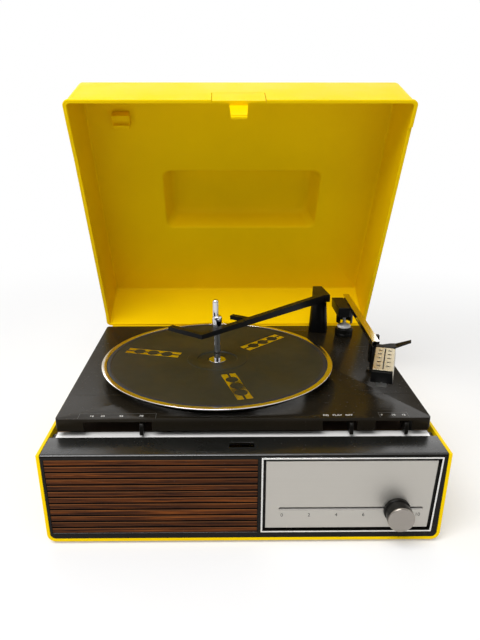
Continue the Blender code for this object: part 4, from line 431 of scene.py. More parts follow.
# %% Handling marks group
handling_marks, start, end = new_group(
    "handling_marks",
    {"Vector": ("Vector", None), "Color": ("Color", grey(0.0)), "Roughness": ("Float", 0.3),
     "Amount": ("Float", 0.3)},
    {"Color": "Color", "Roughness": "Float"})
tree = handling_marks
specks = remap(tree, noise(tree, start["Vector"], 420.0, 1.0), 0.70, 0.78, 0.0, 1.0)
skew = maths(tree, "MULTIPLY", start["Vector"], (18.0, 520.0, 180.0), kind="VectorMath")
hairs = remap(tree, noise(tree, skew, 1.0, 1.0), 0.72, 0.80, 0.0, 0.6)
marks = maths(tree, "MULTIPLY", maths(tree, "MAXIMUM", specks, hairs), start["Amount"])
faint = maths(tree, "MULTIPLY", marks, 0.25)
rougher = maths(tree, "ADD", start["Roughness"], maths(tree, "MULTIPLY", marks, 0.5))
fill(tree, end, Color=blend_colours(tree, faint, start["Color"], (0.45, 0.43, 0.40, 1)),
     Roughness=maths(tree, "MINIMUM", rougher, 1.0))
print("groups", len(bpy.data.node_groups))

# %% [markdown]
# Each material is a short chain: coordinates, its effect group, handling marks, and the shader.
# The next cell gives the common start and end of that chain.

# %% Material helpers


def new_finish(name, metallic=0.0, specular=0.5):
    """A Principled material with its constants set on the shader. Returns material, tree, shader, coordinates."""
    made = bpy.data.materials.new(name)
    made.use_nodes = True
    tree = made.node_tree
    shader = tree.nodes["Principled BSDF"]
    fill(tree, shader, Metallic=metallic, Specular_IOR_Level=specular)
    return made, tree, shader, add_node(tree, "TexCoord")["Object"]


def use_group(tree, group, **values):
    """Place a node group and fill it. Returns its outputs."""
    node = tree.nodes.new("ShaderNodeGroup")
    node.node_tree = group
    return fill(tree, node, **values)


def raise_surface(tree, shader, height, distance):
    """Feed a height into the shader's normal. distance is the relief in metres."""
    bump = add_node(tree, "Bump", Strength=1.0, Distance=distance, Height=height)
    fill(tree, shader, Normal=bump["Normal"])


def marked(tree, shader, place, colour, roughness, amount):
    """Handling marks over a colour and a gloss, into the shader. Returns the marked roughness."""
    used = use_group(tree, handling_marks, Vector=place, Color=colour, Roughness=roughness, Amount=amount)
    fill(tree, shader, Base_Color=used["Color"], Roughness=used["Roughness"])
    return used["Roughness"]


def use_skin(tree, place, light, dark, gloss, grain):
    """The moulded skin with its two tones (RGB) and its range of gloss."""
    return use_group(tree, moulded_skin, Vector=place, Light_Tone=(*light, 1), Dark_Tone=(*dark, 1),
                     Grain_Scale=grain, Gloss_Low=gloss[0], Gloss_High=gloss[1])


def moulded_finish(name, light, dark, gloss, grain=900.0, relief=0.00003, marks=0.15, specular=0.5):
    """Moulded plastic, rubber, paper or paint: moulded_skin, then handling_marks."""
    made, tree, shader, place = new_finish(name, specular=specular)
    skin = use_skin(tree, place, light, dark, gloss, grain)
    marked(tree, shader, place, skin["Color"], skin["Roughness"], marks)
    raise_surface(tree, shader, skin["Height"], relief)
    return made


def brushed_finish(name, light, dark, gloss, stretch, relief=0.00001, metallic=1.0):
    """Brushed metal: brushed_lines in one direction."""
    made, tree, shader, place = new_finish(name, metallic=metallic)
    lines = use_group(tree, brushed_lines, Vector=place, Stretch=stretch, Gloss_Low=gloss[0], Gloss_High=gloss[1],
                      Light_Tone=(*light, 1), Dark_Tone=(*dark, 1))
    marked(tree, shader, place, lines["Color"], lines["Roughness"], 0.08)
    raise_surface(tree, shader, lines["Height"], relief)
    return made


def turned_finish(name, light, dark, gloss, centre, keep, pitch, relief):
    """A turned part: moulded_skin for its colour, turned_rings for its relief."""
    made, tree, shader, place = new_finish(name, metallic=1.0)
    skin = use_skin(tree, place, light, dark, gloss, 600.0)
    rings = use_group(tree, turned_rings, Vector=place, Centre=tuple(centre), Keep=keep, Pitch=pitch)
    marked(tree, shader, place, skin["Color"], skin["Roughness"], 0.10)
    raise_surface(tree, shader, rings["Height"], relief)
    return made


# %% [markdown]
# The case is a warm golden yellow with a soft sheen. Inside the lid the light bounces from wall
# to wall and the colour deepens by itself, so the material only needs the colour of the plastic.

# %% Case, mouldings and rubber
YELLOW = moulded_finish("golden_case_plastic", (0.89, 0.600, 0.001), (0.85, 0.570, 0.001), (0.40, 0.52), 1100.0,
                        0.00002, 0.10, specular=0.03)
BLACK = moulded_finish("black_moulding", (0.007, 0.006, 0.005), (0.004, 0.004, 0.003), (0.22, 0.32), 1300.0,
                       0.00003, 0.08, specular=0.16)
# A copy of the black for the fascia's up-facing faces: painted lighter as lit tops, and more reflective.
LIT_LEDGE_BLACK = moulded_finish("black_ledge_painted_lit", (0.010, 0.010, 0.009), (0.006, 0.006, 0.005), (0.22, 0.30), 1300.0,
                             0.00003, 0.08, specular=0.60)
ARM_BLACK = moulded_finish("black_arm_plastic", (0.0035, 0.0035, 0.0035), (0.002, 0.002, 0.002), (0.30, 0.40),
                           1500.0, 0.00004, 0.08, specular=0.15)
RUBBER = moulded_finish("black_rubber", (0.018, 0.018, 0.018), (0.010, 0.010, 0.010), (0.6, 0.8), 1200.0, 0.00005)
PAPER_CONE = moulded_finish("speaker_paper", (0.06, 0.055, 0.05), (0.035, 0.032, 0.03), (0.8, 0.95), 700.0, 0.0001)
FERRITE = moulded_finish("ferrite", (0.06, 0.06, 0.065), (0.035, 0.035, 0.04), (0.6, 0.8), 500.0, 0.00006)
CIRCUIT = moulded_finish("circuit_board", (0.30, 0.17, 0.06), (0.22, 0.12, 0.04), (0.45, 0.6), 260.0, 0.00002)
HARDBOARD = moulded_finish("hardboard", (0.13, 0.075, 0.04), (0.08, 0.045, 0.025), (0.8, 0.95), 420.0, 0.00012)
COPPER = brushed_finish("wound_copper", (0.50, 0.19, 0.07), (0.30, 0.09, 0.03), (0.25, 0.4), (900.0, 900.0, 12.0),
                        0.00015, 0.8)

# %% [markdown]
# The deck is steel sheet under satin black paint. It is glossy enough that its front corners
# mirror the white room while its middle mirrors the dark gold of the lid. A pressed line crosses
# the plate in front of the platter: it is one narrow dip in the height.

# %% Deck paint
DECK_LINE_Y = float(world([0.0, 0.089, 0.0])[1])
DECK_LINE_HALF = 0.00035

DECK, tree, shader, place = new_finish("black_deck_paint", specular=0.085)
skin = use_skin(tree, place, (0.014, 0.011, 0.007), (0.010, 0.008, 0.005), (0.20, 0.27), 1500.0)
marked(tree, shader, place, skin["Color"], skin["Roughness"], 0.2)
away = maths(tree, "ABSOLUTE", maths(tree, "SUBTRACT", separate(tree, place)["Y"], DECK_LINE_Y))
dip = remap(tree, away, 0.0, DECK_LINE_HALF, 0.0, 1.0)
raise_surface(tree, shader, maths(tree, "ADD", dip, maths(tree, "MULTIPLY", skin["Height"], 0.05)), 0.0003)

# %% [markdown]
# Metals: the control plate is a pale brushed silver with a warm cast, the trim strip is brighter
# and has lengthwise ribs, and the platter, arm tube and headshell cover are polished, so that
# they mirror the yellow lid. Chrome is for the spindle and the pivot's collar.

# %% Metals
SPIN = world([-0.0255, 0.158, 0.0])
KNOB = world([0.1395, 0.0, 0.0336])

PANEL = brushed_finish("brushed_control_plate", (0.57, 0.545, 0.50), (0.51, 0.485, 0.44), (0.42, 0.52),
                       (6.0, 900.0, 900.0), 0.000004, 0.75)
BRIGHT_EDGE = brushed_finish("bright_bezel", (0.90, 0.89, 0.86), (0.80, 0.79, 0.76), (0.22, 0.34),
                             (12.0, 900.0, 900.0), 0.000004)
STRIP = brushed_finish("ribbed_trim_strip", (0.98, 0.97, 0.95), (0.78, 0.77, 0.75), (0.40, 0.55),
                       (1.5, 420.0, 420.0), 0.00004, 0.15)
POLISHED = brushed_finish("polished_aluminium", (0.90, 0.89, 0.86), (0.84, 0.83, 0.80), (0.10, 0.18),
                          (500.0, 6.0, 500.0), 0.000002)
SHELL_METAL = brushed_finish("headshell_metal", (0.64, 0.57, 0.42), (0.54, 0.48, 0.34), (0.24, 0.34),
                             (500.0, 8.0, 500.0), 0.000003)
SPUN = turned_finish("spun_aluminium", (0.90, 0.88, 0.85), (0.86, 0.84, 0.80), (0.12, 0.18), SPIN, (1, 1, 0),
                     0.0005, 0.0000015)
CHROME = turned_finish("chrome", (0.74, 0.74, 0.75), (0.64, 0.64, 0.66), (0.06, 0.11), SPIN, (0, 0, 1), 0.0009,
                       0.000001)
KNOB_METAL = turned_finish("turned_knob_cap", (0.40, 0.37, 0.33), (0.34, 0.31, 0.28), (0.22, 0.30), KNOB,
                           (1, 0, 1), 0.00032, 0.00001)
STEEL = brushed_finish("plated_steel", (0.55, 0.55, 0.52), (0.42, 0.42, 0.40), (0.28, 0.42), (40.0, 300.0, 300.0),
                       0.000005)

# %% [markdown]
# The mat is olive-black rubber, moulded with very fine rings, and a darker lip round its edge.
# The same ring group that gave the turned metals drives its relief, and the radius that it puts
# out picks the lip's colour.

# %% Mat rubber
MAT_LIP_R = 0.1165
LIP_BLEND = 0.0006

MAT, tree, shader, place = new_finish("ringed_mat_rubber", specular=0.25)
rings = use_group(tree, turned_rings, Vector=place, Centre=tuple(SPIN), Keep=(1, 1, 0), Pitch=0.0011)
skin = use_skin(tree, place, (0.020, 0.020, 0.012), (0.014, 0.014, 0.008), (0.40, 0.52), 1000.0)
lip = remap(tree, rings["Radius"], MAT_LIP_R, MAT_LIP_R + LIP_BLEND, 0.0, 1.0)
toned = blend_colours(tree, lip, skin["Color"], (0.016, 0.017, 0.019, 1))
marked(tree, shader, place, toned, skin["Roughness"], 0.25)
relief = maths(tree, "ADD", rings["Height"], maths(tree, "MULTIPLY", skin["Height"], 0.6))
raise_surface(tree, shader, relief, 0.00003)

# %% [markdown]
# The grille takes the wood figure. Its gloss is even, apart from handling marks, and the grooves
# are matt.

# %% Wood-look grille
grille_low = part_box("speaker_grille")[0]
GROOVE_DEPTH = 0.0006

WOOD, tree, shader, place = new_finish("rosewood_grille", specular=0.12)
figure = use_group(tree, wood_figure, Vector=place, Rib_Pitch=RIB_PITCH, First_Rib=grille_low.z,
                   Groove_Y=grille_low.y + GROOVE_DEPTH, Rib_Share=RIB_HEIGHT / RIB_PITCH)
gloss = marked(tree, shader, place, figure["Color"], 0.42, 0.12)
rough = maths(tree, "ADD", gloss, maths(tree, "MULTIPLY", figure["Groove"], 0.4))
fill(tree, shader, Roughness=rough)
raise_surface(tree, shader, figure["Height"], 0.00008)

# %% [markdown]
# Printed letters are plain white paint on the deck and plain black on the control plate.

# %% Printing paints
WHITE_PRINT = moulded_finish("white_print", (0.80, 0.79, 0.76), (0.70, 0.69, 0.66), (0.45, 0.6), 1500.0, 0.00001)
BLACK_PRINT = moulded_finish("black_print", (0.02, 0.02, 0.02), (0.01, 0.01, 0.01), (0.45, 0.6), 1500.0, 0.00001)

# %% [markdown]
# ## The CAD nodes
# Where a solid's shape is already right, it stays and only gets its finish. This table names the
# finish of every node, also of those inside the case, because a lid or a platter may be lifted.

# %% Finishes of the nodes
CORNERS = ("front_left", "front_right", "rear_left", "rear_right")
FEET = ["foot_" + corner for corner in CORNERS]
MOUNTS = ["deck_mount_" + corner for corner in CORNERS]
HINGES = ["hinge_" + leaf for leaf in ("fixed_left", "fixed_right", "lid_left", "lid_right")]

finish_of = {
    YELLOW: ("base_tray", "lid_shell", "lid_latch", "spindle_clip"),
    BLACK: ("front_fascia", "volume_knob", "speed_lever", "play_lever", "size_lever", "tonearm_base", "arm_rest"),
    ARM_BLACK: ("overarm", "overarm_post", "tonearm_turret", "headshell", "finger_lift", "cartridge"),
    DECK: ("deck_plate",),
    WOOD: ("speaker_grille",),
    PANEL: ("control_panel",),
    BRIGHT_EDGE: ("panel_bezel",),
    STRIP: ("trim_strip",),
    POLISHED: ("arm_tube", "filter_capacitor"),
    SHELL_METAL: ("headshell_cover",),
    SPUN: ("platter",),
    CHROME: ("spindle", "hub_washer", "overarm_shaft", "tonearm_pivot_post"),
    KNOB_METAL: ("volume_cap",),
    MAT: ("platter_mat",),
    STEEL: ("slide_potentiometer", "turntable_bearing", "idler_arm", "idler_wheel", "motor_rotor", "speaker_frame",
            "latch_keeper", "stylus", *HINGES),
    RUBBER: ("idler_tyre", "cord_gland", *MOUNTS, *FEET),
    HARDBOARD: ("motor_board",),
    CIRCUIT: ("amplifier_board",),
    COPPER: ("motor_coil",),
    FERRITE: ("motor_stator", "speaker_magnet"),
    PAPER_CONE: ("speaker_cone",),
}
node_finish = {name: made for made, names in finish_of.items() for name in names}
node_body = {name: body for body, names in frame["record"]["behaviour"]["bodies"].items() for name in names}
for name, made in node_finish.items():
    nodes[name].data.materials.clear()
    nodes[name].data.materials.append(made)
print("finished nodes", len(node_finish), "of", len(nodes), "left", sorted(set(nodes) - set(node_finish)))

# %% [markdown]
# ## Surfaces from arrays
# The round and drafted pieces are computed as grids of points: one direction follows a profile,
# the other goes round. A grid is a two-dimensional array, so the whole surface is worked out at
# once, and its faces are four shifted copies of the index grid.

# %% Grid surfaces
WELD, MERGE = 0.000002, 0.000001
SHARP = 35.0
BOX_FACES = np.array([[0, 1, 3, 2], [4, 6, 7, 5], [0, 4, 5, 1], [2, 3, 7, 6], [0, 2, 6, 4], [1, 5, 7, 3]])


def mesh_from(name, points, faces, weld=0.0, merge=0.0):
    """A mesh whose faces point outwards. weld joins doubles, merge drops edges of no length, both in metres."""
    data = bpy.data.meshes.new(name)
    data.from_pydata(np.asarray(points).tolist(), [], faces)
    shape = bmesh.new()
    shape.from_mesh(data)
    if weld:
        bmesh.ops.remove_doubles(shape, verts=shape.verts, dist=weld)
    if merge:
        bmesh.ops.dissolve_degenerate(shape, edges=shape.edges, dist=merge)
    bmesh.ops.recalc_face_normals(shape, faces=shape.faces)
    shape.to_mesh(data)
    shape.free()
    return data


def shade(data, angle):
    """Smooth shading, sharp where two faces meet at more than the angle in degrees."""
    data.shade_smooth()
    data.set_sharp_from_angle(angle=math.radians(angle))


def join_frame(made, body, node=None):
    """Let a piece ride on a body. With a node, it stands for that CAD node, which is hidden."""
    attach(made, body)
    if node:
        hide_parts(node)


def piece_from(name, points, faces, material, body, angle=SHARP):
    """A finished piece from points and faces, riding on a body."""
    data = mesh_from(name, points, np.asarray(faces).tolist(), WELD, MERGE)
    made = link_object(name, data)
    data.materials.append(material)
    shade(data, angle)
    join_frame(made, body)
    return made


def box_points(xs, ys, zs):
    """The eight corners of a box, in the order that BOX_FACES joins them."""
    return np.array([[x, y, z] for x in xs for y in ys for z in zs])


def grid_faces(rows, columns, around=True):
    """Quads of a rows x columns grid of points, row by row; around also joins the last column to the first."""
    index = np.arange(rows * columns).reshape(rows, columns)
    right = np.roll(index, -1, axis=1)
    quads = np.stack([index[:-1], right[:-1], right[1:], index[1:]], axis=-1)
    if not around:
        quads = quads[:, :-1]
    return quads.reshape(-1, 4)


def soft_corners(profile, steps=5):
    """Round a profile of (a, b, radius) corners. Each corner becomes an arc tangent to both of its sides:
    centre = corner + (unit sum of the two side directions) * radius / sin(half angle)."""
    points = []
    profile = [tuple(row) if len(row) == 3 else (*row, 0.0) for row in profile]
    for index, (a, b, radius) in enumerate(profile):
        here = np.array([a, b])
        if radius <= 0.0 or index in (0, len(profile) - 1):
            points.append(here[None])
            continue
        back = np.array(profile[index - 1][:2]) - here
        on = np.array(profile[index + 1][:2]) - here
        back /= np.linalg.norm(back)
        on /= np.linalg.norm(on)
        half = math.acos(np.clip(back @ on, -1, 1)) / 2
        middle = here + (back + on) / np.linalg.norm(back + on) * radius / math.sin(half)
        first = here + back * radius / math.tan(half) - middle
        last = here + on * radius / math.tan(half) - middle
        share = np.linspace(0.0, 1.0, steps + 1)[:, None]
        spread = math.acos(np.clip(first @ last / radius ** 2, -1, 1))
        arc = (np.sin((1 - share) * spread) * first + np.sin(share * spread) * last) / math.sin(spread)
        points.append(middle + arc)
    return np.concatenate(points)


def revolve(profile, steps, centre, axis="Z"):
    """Points of a surface of revolution: (shift + r cos t, r sin t, h) about a line through centre.
    A third column of the profile is the shift along x. axis -Y turns the height towards the front."""
    turn = np.linspace(0.0, math.tau, steps, endpoint=False)[None, :]
    radius, height = profile[:, 0:1], profile[:, 1:2]
    shift = profile[:, 2:3] if profile.shape[1] > 2 else 0.0
    x, y, z = shift + radius * np.cos(turn), radius * np.sin(turn), height + 0.0 * turn
    grid = np.stack([x, y, z] if axis == "Z" else [x, -z, y], axis=-1)
    return grid.reshape(-1, 3) + np.asarray(centre)


def turned_piece(name, profile, steps, centre, material, node, axis="Z", ring=False):
    """A turned piece that stands for a CAD node. A ring profile is closed on itself; others end on the axis."""
    rows = np.concatenate([profile, profile[:1]]) if ring else profile
    points = revolve(rows, steps, centre, axis)
    made = piece_from(name, points, grid_faces(len(rows), steps), material, node_body[node])
    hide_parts(node)
    return made


# %% [markdown]
# The platter is spun from sheet and turned: a flat floor, a raised bright rim with a small
# rounding on each edge, a side that slopes inwards below it, and the drive rim. Its profile is a
# closed loop in radius and height. The rim's top and edge are what shows round the mat.

# %% Platter
SHEET_TOP = 0.1173
SHEET_LOW = 0.1155
RIM_TOP = 0.1195
platter_profile = soft_corners([
    (0.0039, SHEET_TOP), (0.1214, SHEET_TOP, 0.0003), (0.1217, RIM_TOP, 0.0003), (0.1270, RIM_TOP, 0.0003),
    (0.1270, 0.1187, 0.0002), (0.1232, SHEET_LOW, 0.001), (0.1070, SHEET_LOW, 0.0004), (0.1070, 0.1005, 0.0003),
    (0.1040, 0.1005, 0.0003), (0.1040, SHEET_LOW, 0.0004), (0.0130, SHEET_LOW, 0.0004), (0.0130, 0.1035, 0.0003),
    (0.0039, 0.1035)], 4)
platter = turned_piece("platter_spun", platter_profile, 256, SPIN, SPUN, "platter", ring=True)
print("platter faces", len(platter.data.polygons))

# %% [markdown]
# The mat lies inside that rim. Its profile has the lip, a flat field with a faint step, and the
# dip round the spindle. Three windows frame rows of discs. A window's half is a flat outline: a
# straight edge on one side, and on the other a chain of arcs of circles. The outline is pushed
# through the mat as a cutter, and the cutter is then removed. The same outline, a little smaller,
# also gives the land of platter metal that fills the window.

# %% Mat with windows
MAT_GAP, MAT_THICK, MAT_STEP, HUB_DIP = 0.0003, 0.0019, 0.0004, 0.0011
MAT_LOW = SHEET_TOP + MAT_GAP
MAT_TOP = MAT_LOW + MAT_THICK
mat_profile = soft_corners([
    (0.0103, MAT_TOP - HUB_DIP), (0.0218, MAT_TOP - HUB_DIP, 0.0002), (0.0224, MAT_TOP, 0.0003),
    (0.0330, MAT_TOP, 0.0002), (0.0335, MAT_TOP - MAT_STEP, 0.0002), (0.1168, MAT_TOP - MAT_STEP, 0.0002),
    (0.1174, MAT_TOP, 0.0003), (0.1212, MAT_TOP, 0.0005), (0.1212, MAT_LOW, 0.0003), (0.0103, MAT_LOW)], 3)
mat = turned_piece("mat_rubber_disc", mat_profile, 224, SPIN, MAT, "platter_mat", ring=True)

WINDOW_FROM, WINDOW_TO, WINDOW_WIDE = 0.0442, 0.1082, 0.0162
DISC_R, DISC_PITCH, STRIP_HALF = 0.0064, 0.0165, 0.0010
LAND_TOP = MAT_TOP - 0.0006
LAND_SINK, LAND_INSET, CUT_PAST = 0.0002, 0.0002, 0.001


def window_outline(side, inset=0.0):
    """Half a window in (along, across), moved in by inset: a straight edge, then three arcs about the
    discs' centres, of radius DISC_R + inset."""
    radius, strip = DISC_R + inset, STRIP_HALF + inset
    span = math.acos(strip / radius)
    turn = np.linspace(-span, span, 17)[None, :]
    centres = (WINDOW_FROM + WINDOW_TO) / 2 + DISC_PITCH * np.array([-1.0, 0.0, 1.0])[:, None]
    across = side * radius * np.cos(turn) + 0.0 * centres
    wave = np.stack([centres + radius * np.sin(turn), across], axis=-1).reshape(-1, 2)
    start, stop = WINDOW_FROM + inset, WINDOW_TO - inset
    ends = np.array([[start, side * (WINDOW_WIDE / 2 - inset)], [start, side * strip]])
    return np.concatenate([ends, wave, ends[::-1] * [0, 1] + [stop, 0]])


def prism(name, outline, low, high):
    """A straight prism on a flat outline: a cutter, or a land of metal."""
    count = len(outline)
    level = np.ones((count, 1))
    points = np.concatenate([np.hstack([outline, low * level]), np.hstack([outline, high * level])])
    caps = [list(range(count))[::-1], list(range(count, 2 * count))]
    return link_object(name, mesh_from(name, points, grid_faces(2, count).tolist() + caps))


def shown_mesh(made):
    """A plain mesh of what an object shows: its modifiers applied, or its text filled."""
    bpy.context.view_layer.update()
    return bpy.data.meshes.new_from_object(made.evaluated_get(bpy.context.evaluated_depsgraph_get()))


def carve(piece, cutters):
    """Take cutters out of a piece with exact booleans, keep the result as plain mesh, and remove the cutters."""
    for cutter in cutters:
        step = piece.modifiers.new("carve", "BOOLEAN")
        step.operation = "DIFFERENCE"
        step.solver = "EXACT"
        step.object = cutter
    done, old = shown_mesh(piece), piece.data
    piece.modifiers.clear()
    name = old.name
    piece.data = done
    bpy.data.meshes.remove(old)
    done.name = name
    for cutter in cutters:
        bpy.data.objects.remove(cutter, do_unlink=True)


tools = []
for degrees in (45.0, 165.0, 285.0):
    turn = math.radians(degrees)
    spin = np.array([[math.cos(turn), math.sin(turn)], [-math.sin(turn), math.cos(turn)]])
    for side in (-1.0, 1.0):
        outline = window_outline(side) @ spin + SPIN[:2]
        tools.append(prism("window", outline, SPIN[2] + MAT_LOW - CUT_PAST, SPIN[2] + MAT_TOP + CUT_PAST))
        inner = window_outline(side, LAND_INSET) @ spin + SPIN[:2]
        land = prism("platter_land", inner, SPIN[2] + SHEET_TOP - LAND_SINK, SPIN[2] + LAND_TOP)
        land.data.materials.append(SPUN)
        join_frame(land, node_body["platter"])
carve(mat, tools)
mat.data.set_sharp_from_angle(angle=math.radians(SHARP))
print("mat faces", len(mat.data.polygons))

# %% [markdown]
# The spindle is a stack of turned steps, and its upper rod stands a little off the axis: that
# offset is how the real one holds a stack of records. So the sections are circles whose radius
# and centre both change with height.

# %% Spindle
UPPER_SHIFT = -0.0016
low_rows = soft_corners([(0.0, 0.0810), (0.0036, 0.0810), (0.0036, 0.0932), (0.0100, 0.0932, 0.0006),
                         (0.0100, 0.0972, 0.0006), (0.0036, 0.0972), (0.0036, 0.1538, 0.0008),
                         (0.0041, 0.1545, 0.0005), (0.0053, 0.1572, 0.0008), (0.0053, 0.1676, 0.0008),
                         (0.0044, 0.1694, 0.0003), (0.0030, 0.1695)], 5)
top_rows = soft_corners([(0.0031, 0.1695), (0.0031, 0.1860, 0.0), (0.0031, 0.1880, 0.0027), (0.0, 0.1880)], 8)
rows = np.concatenate([np.column_stack([low_rows, np.zeros(len(low_rows))]),
                       np.column_stack([top_rows, np.full(len(top_rows), UPPER_SHIFT)])])
turned_piece("spindle_stepped", rows, 64, SPIN, CHROME, "spindle")

# %% [markdown]
# Washer, cap, posts, collar and feet are plain turned pieces. Each is one profile, from the axis
# out and back or closed round a bore. Small radii on the outer corners give every edge its thin
# line of light.

# %% Small turned pieces
turned_piece("washer_bright", soft_corners([
    (0.0039, SHEET_TOP + 0.0003), (0.0039, SHEET_TOP + 0.0011, 0.0), (0.0095, SHEET_TOP + 0.0011, 0.0003),
    (0.0095, SHEET_TOP + 0.0003)], 3), 96, SPIN, CHROME, "hub_washer", ring=True)

knob_front = world([0.1395, -0.0013, 0.0336])
cap = turned_piece("cap_turned", soft_corners([
    (0.0, 0.0160), (0.0090, 0.0162, 0.001), (0.0104, 0.0165, 0.0003), (0.0121, 0.0165, 0.0009),
    (0.0121, 0.0147), (0.0121, 0.0079, 0.0003), (0.0, 0.0079)], 5), 128, knob_front, KNOB_METAL,
    "volume_cap", axis="-Y")

ARM_POST = world([0.1065, 0.288, 0.0])
turned_piece("overarm_post_tapered", soft_corners([
    (0.0033, 0.1522), (0.0095, 0.1522, 0.0006), (0.0124, 0.1076, 0.0004), (0.0033, 0.1076)], 5), 96, ARM_POST,
    ARM_BLACK, "overarm_post", ring=True)
turned_piece("overarm_rod", soft_corners([
    (0.0, 0.1571), (0.0030, 0.1571, 0.0003), (0.0030, 0.1196, 0.0003), (0.0, 0.1196)], 3), 48, ARM_POST, CHROME,
    "overarm_shaft")

PIVOT = world([0.137, 0.268, 0.0])
turned_piece("tonearm_cup", soft_corners([
    (0.0, 0.1188), (0.0088, 0.1188, 0.0003), (0.0092, 0.1186, 0.0002), (0.0113, 0.1180, 0.0008),
    (0.0113, 0.1122, 0.0003), (0.0109, 0.1118, 0.0002), (0.0113, 0.1114, 0.0003), (0.0113, 0.1076, 0.0004),
    (0.0, 0.1076)], 4), 96, PIVOT, BLACK, "tonearm_base")
turned_piece("pivot_collar", soft_corners([
    (0.0, 0.1400), (0.0020, 0.1400), (0.0020, 0.1249, 0.0008), (0.0070, 0.1222, 0.001),
    (0.0085, 0.1216, 0.0006), (0.0085, 0.1191, 0.0004), (0.0, 0.1191)], 5), 96, PIVOT, STRIP,
    "tonearm_pivot_post")

for name in FEET:
    low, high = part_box(name)
    middle = np.array([(low.x + high.x) / 2, (low.y + high.y) / 2, 0.0])
    turned_piece(name + "_turned", soft_corners([
        (0.0020, 0.0012), (0.0020, 0.0027), (0.0080, 0.0027), (0.0075, 0.0, 0.0006), (0.0028, 0.0, 0.0003),
        (0.0020, 0.0012)], 3), 64, middle, RUBBER, name, ring=True)
print("cap faces", len(cap.data.polygons))

# %% [markdown]
# The knob's black body has a stem that reaches through the slot to the slider inside. The round
# part is turned, and the stem is a small prism joined to it.

# %% Volume knob
turned_piece("knob_body", soft_corners([
    (0.0, 0.0076), (0.0113, 0.0076, 0.0005), (0.0112, 0.0036, 0.0003), (0.0124, 0.0034, 0.0007),
    (0.0124, 0.0, 0.0003), (0.0, 0.0)], 5), 128, knob_front, BLACK, "volume_knob", axis="-Y")
STEM_WIDE, STEM_TALL, STEM_OVERLAP = 0.0060, 0.0022, 0.001
stem_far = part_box("volume_knob")[1].y
stem_size = np.array([STEM_WIDE, stem_far - knob_front[1] + STEM_OVERLAP, STEM_TALL])
stem_middle = np.array([knob_front[0], (stem_far + knob_front[1] - STEM_OVERLAP) / 2, knob_front[2]])
unit = box_points((-0.5, 0.5), (-0.5, 0.5), (-0.5, 0.5))
piece_from("knob_stem", unit * stem_size + stem_middle, BOX_FACES, BLACK, "volume_knob")

# %% [markdown]
# ## The lid
# The lid is a drafted tray with a recess pressed outwards in its top. Its shape is a stack of
# closed loops. Each loop is a rounded rectangle with its own half width, near and far end, height
# and corner radius, and neighbouring loops are joined. The stack starts at the middle of the
# recess inside, runs down the inner wall to the rim, and comes back up the outer wall. It is
# computed in the closed lid's own axes and then opened about the hinge.

# %% Lid loops
LID_H, LID_WALL = 0.0755, 0.0030
RECESS_H, RECESS_X = 0.029, 0.0055
CORNER_R, FILLET_R = 0.0065, 0.0095
HINGE = np.array([0.0, 0.3520, 0.0908])
OPEN = math.radians(62.0)
STEP_FROM, STEP_TO, STEP_N = 0.0115, 0.3095, 0.0030
CORNER_STEPS, SIDE_SHARES = 8, (0.003, 0.006, 0.05, 0.2, 0.35, 0.5, 0.65, 0.8, 0.920, 0.926, 0.96)


def round_rectangle(centre, half, low, high, radius):
    """One loop as (x, u): four arcs of one radius, and shared points along the two long sides.
    Each arc is corner centre + radius * (cos t, sin t)."""
    quarter = np.linspace(0.0, math.pi / 2, CORNER_STEPS + 1)
    loops = []
    for number, (sx, su) in enumerate(((1, 1), (-1, 1), (-1, -1), (1, -1))):
        turn = quarter + number * math.pi / 2
        hub = np.array([centre + sx * (half - radius), (high - radius) if su > 0 else (low + radius)])
        loops.append(hub + radius * np.column_stack([np.cos(turn), np.sin(turn)]))
        if number in (1, 3):
            share = np.array(SIDE_SHARES)[:, None]
            ahead = share if number == 3 else 1.0 - share[::-1]
            base = low + radius + (high - low - 2 * radius) * ahead[:, 0]
            side = np.column_stack([np.full(len(base), centre + sx * half), base])
            loops.append(side[::-1] if number == 1 and base[0] < base[-1] else side)
    return np.concatenate(loops)


def lid_outline(n, inset):
    """Wall outline at height n, drafted on every side and moved in by inset: (half width, near u, far u)."""
    share = np.clip(n / LID_H, 0.0, 1.0)
    return 0.184 - 0.001 * share - inset, 0.0035 + 0.001 * share + inset, 0.3404 - 0.014 * share - inset


def recess_outline(n, inset):
    """Recess outline at height n, narrowing outwards: (half width, near u, far u)."""
    share = (n - LID_H) / RECESS_H
    return 0.100 - 0.010 * share - inset, 0.1233 + 0.0057 * share + inset, 0.2105 - 0.0105 * share - inset


def lid_level(n, inset, radius, recess=False, flare=0.0):
    """One loop as points (x, u, n). flare widens the rim into its bead on the front and the sides."""
    half, near, far = recess_outline(n, inset) if recess else lid_outline(n, inset)
    flat_loop = round_rectangle(RECESS_X if recess else 0.0, half + flare, near, far + flare, radius)
    return np.column_stack([flat_loop, np.full(len(flat_loop), n)])


def edge_loops(start, n, radius, sign, from_wall, corner, share=1.0, recess=False):
    """Six loops round an edge between a wall and a level face, from inset start and height n.
    Each loop's own corner radius is corner - share * inset."""
    turn = np.linspace(0.0, math.pi / 2, 6)
    sideways, upwards = (1 - np.cos(turn), np.sin(turn)) if from_wall else (np.sin(turn), 1 - np.cos(turn))
    steps = zip(start + sign * radius * sideways, n + sign * radius * upwards)
    return [lid_level(height, inset, corner - share * inset, recess) for inset, height in steps]


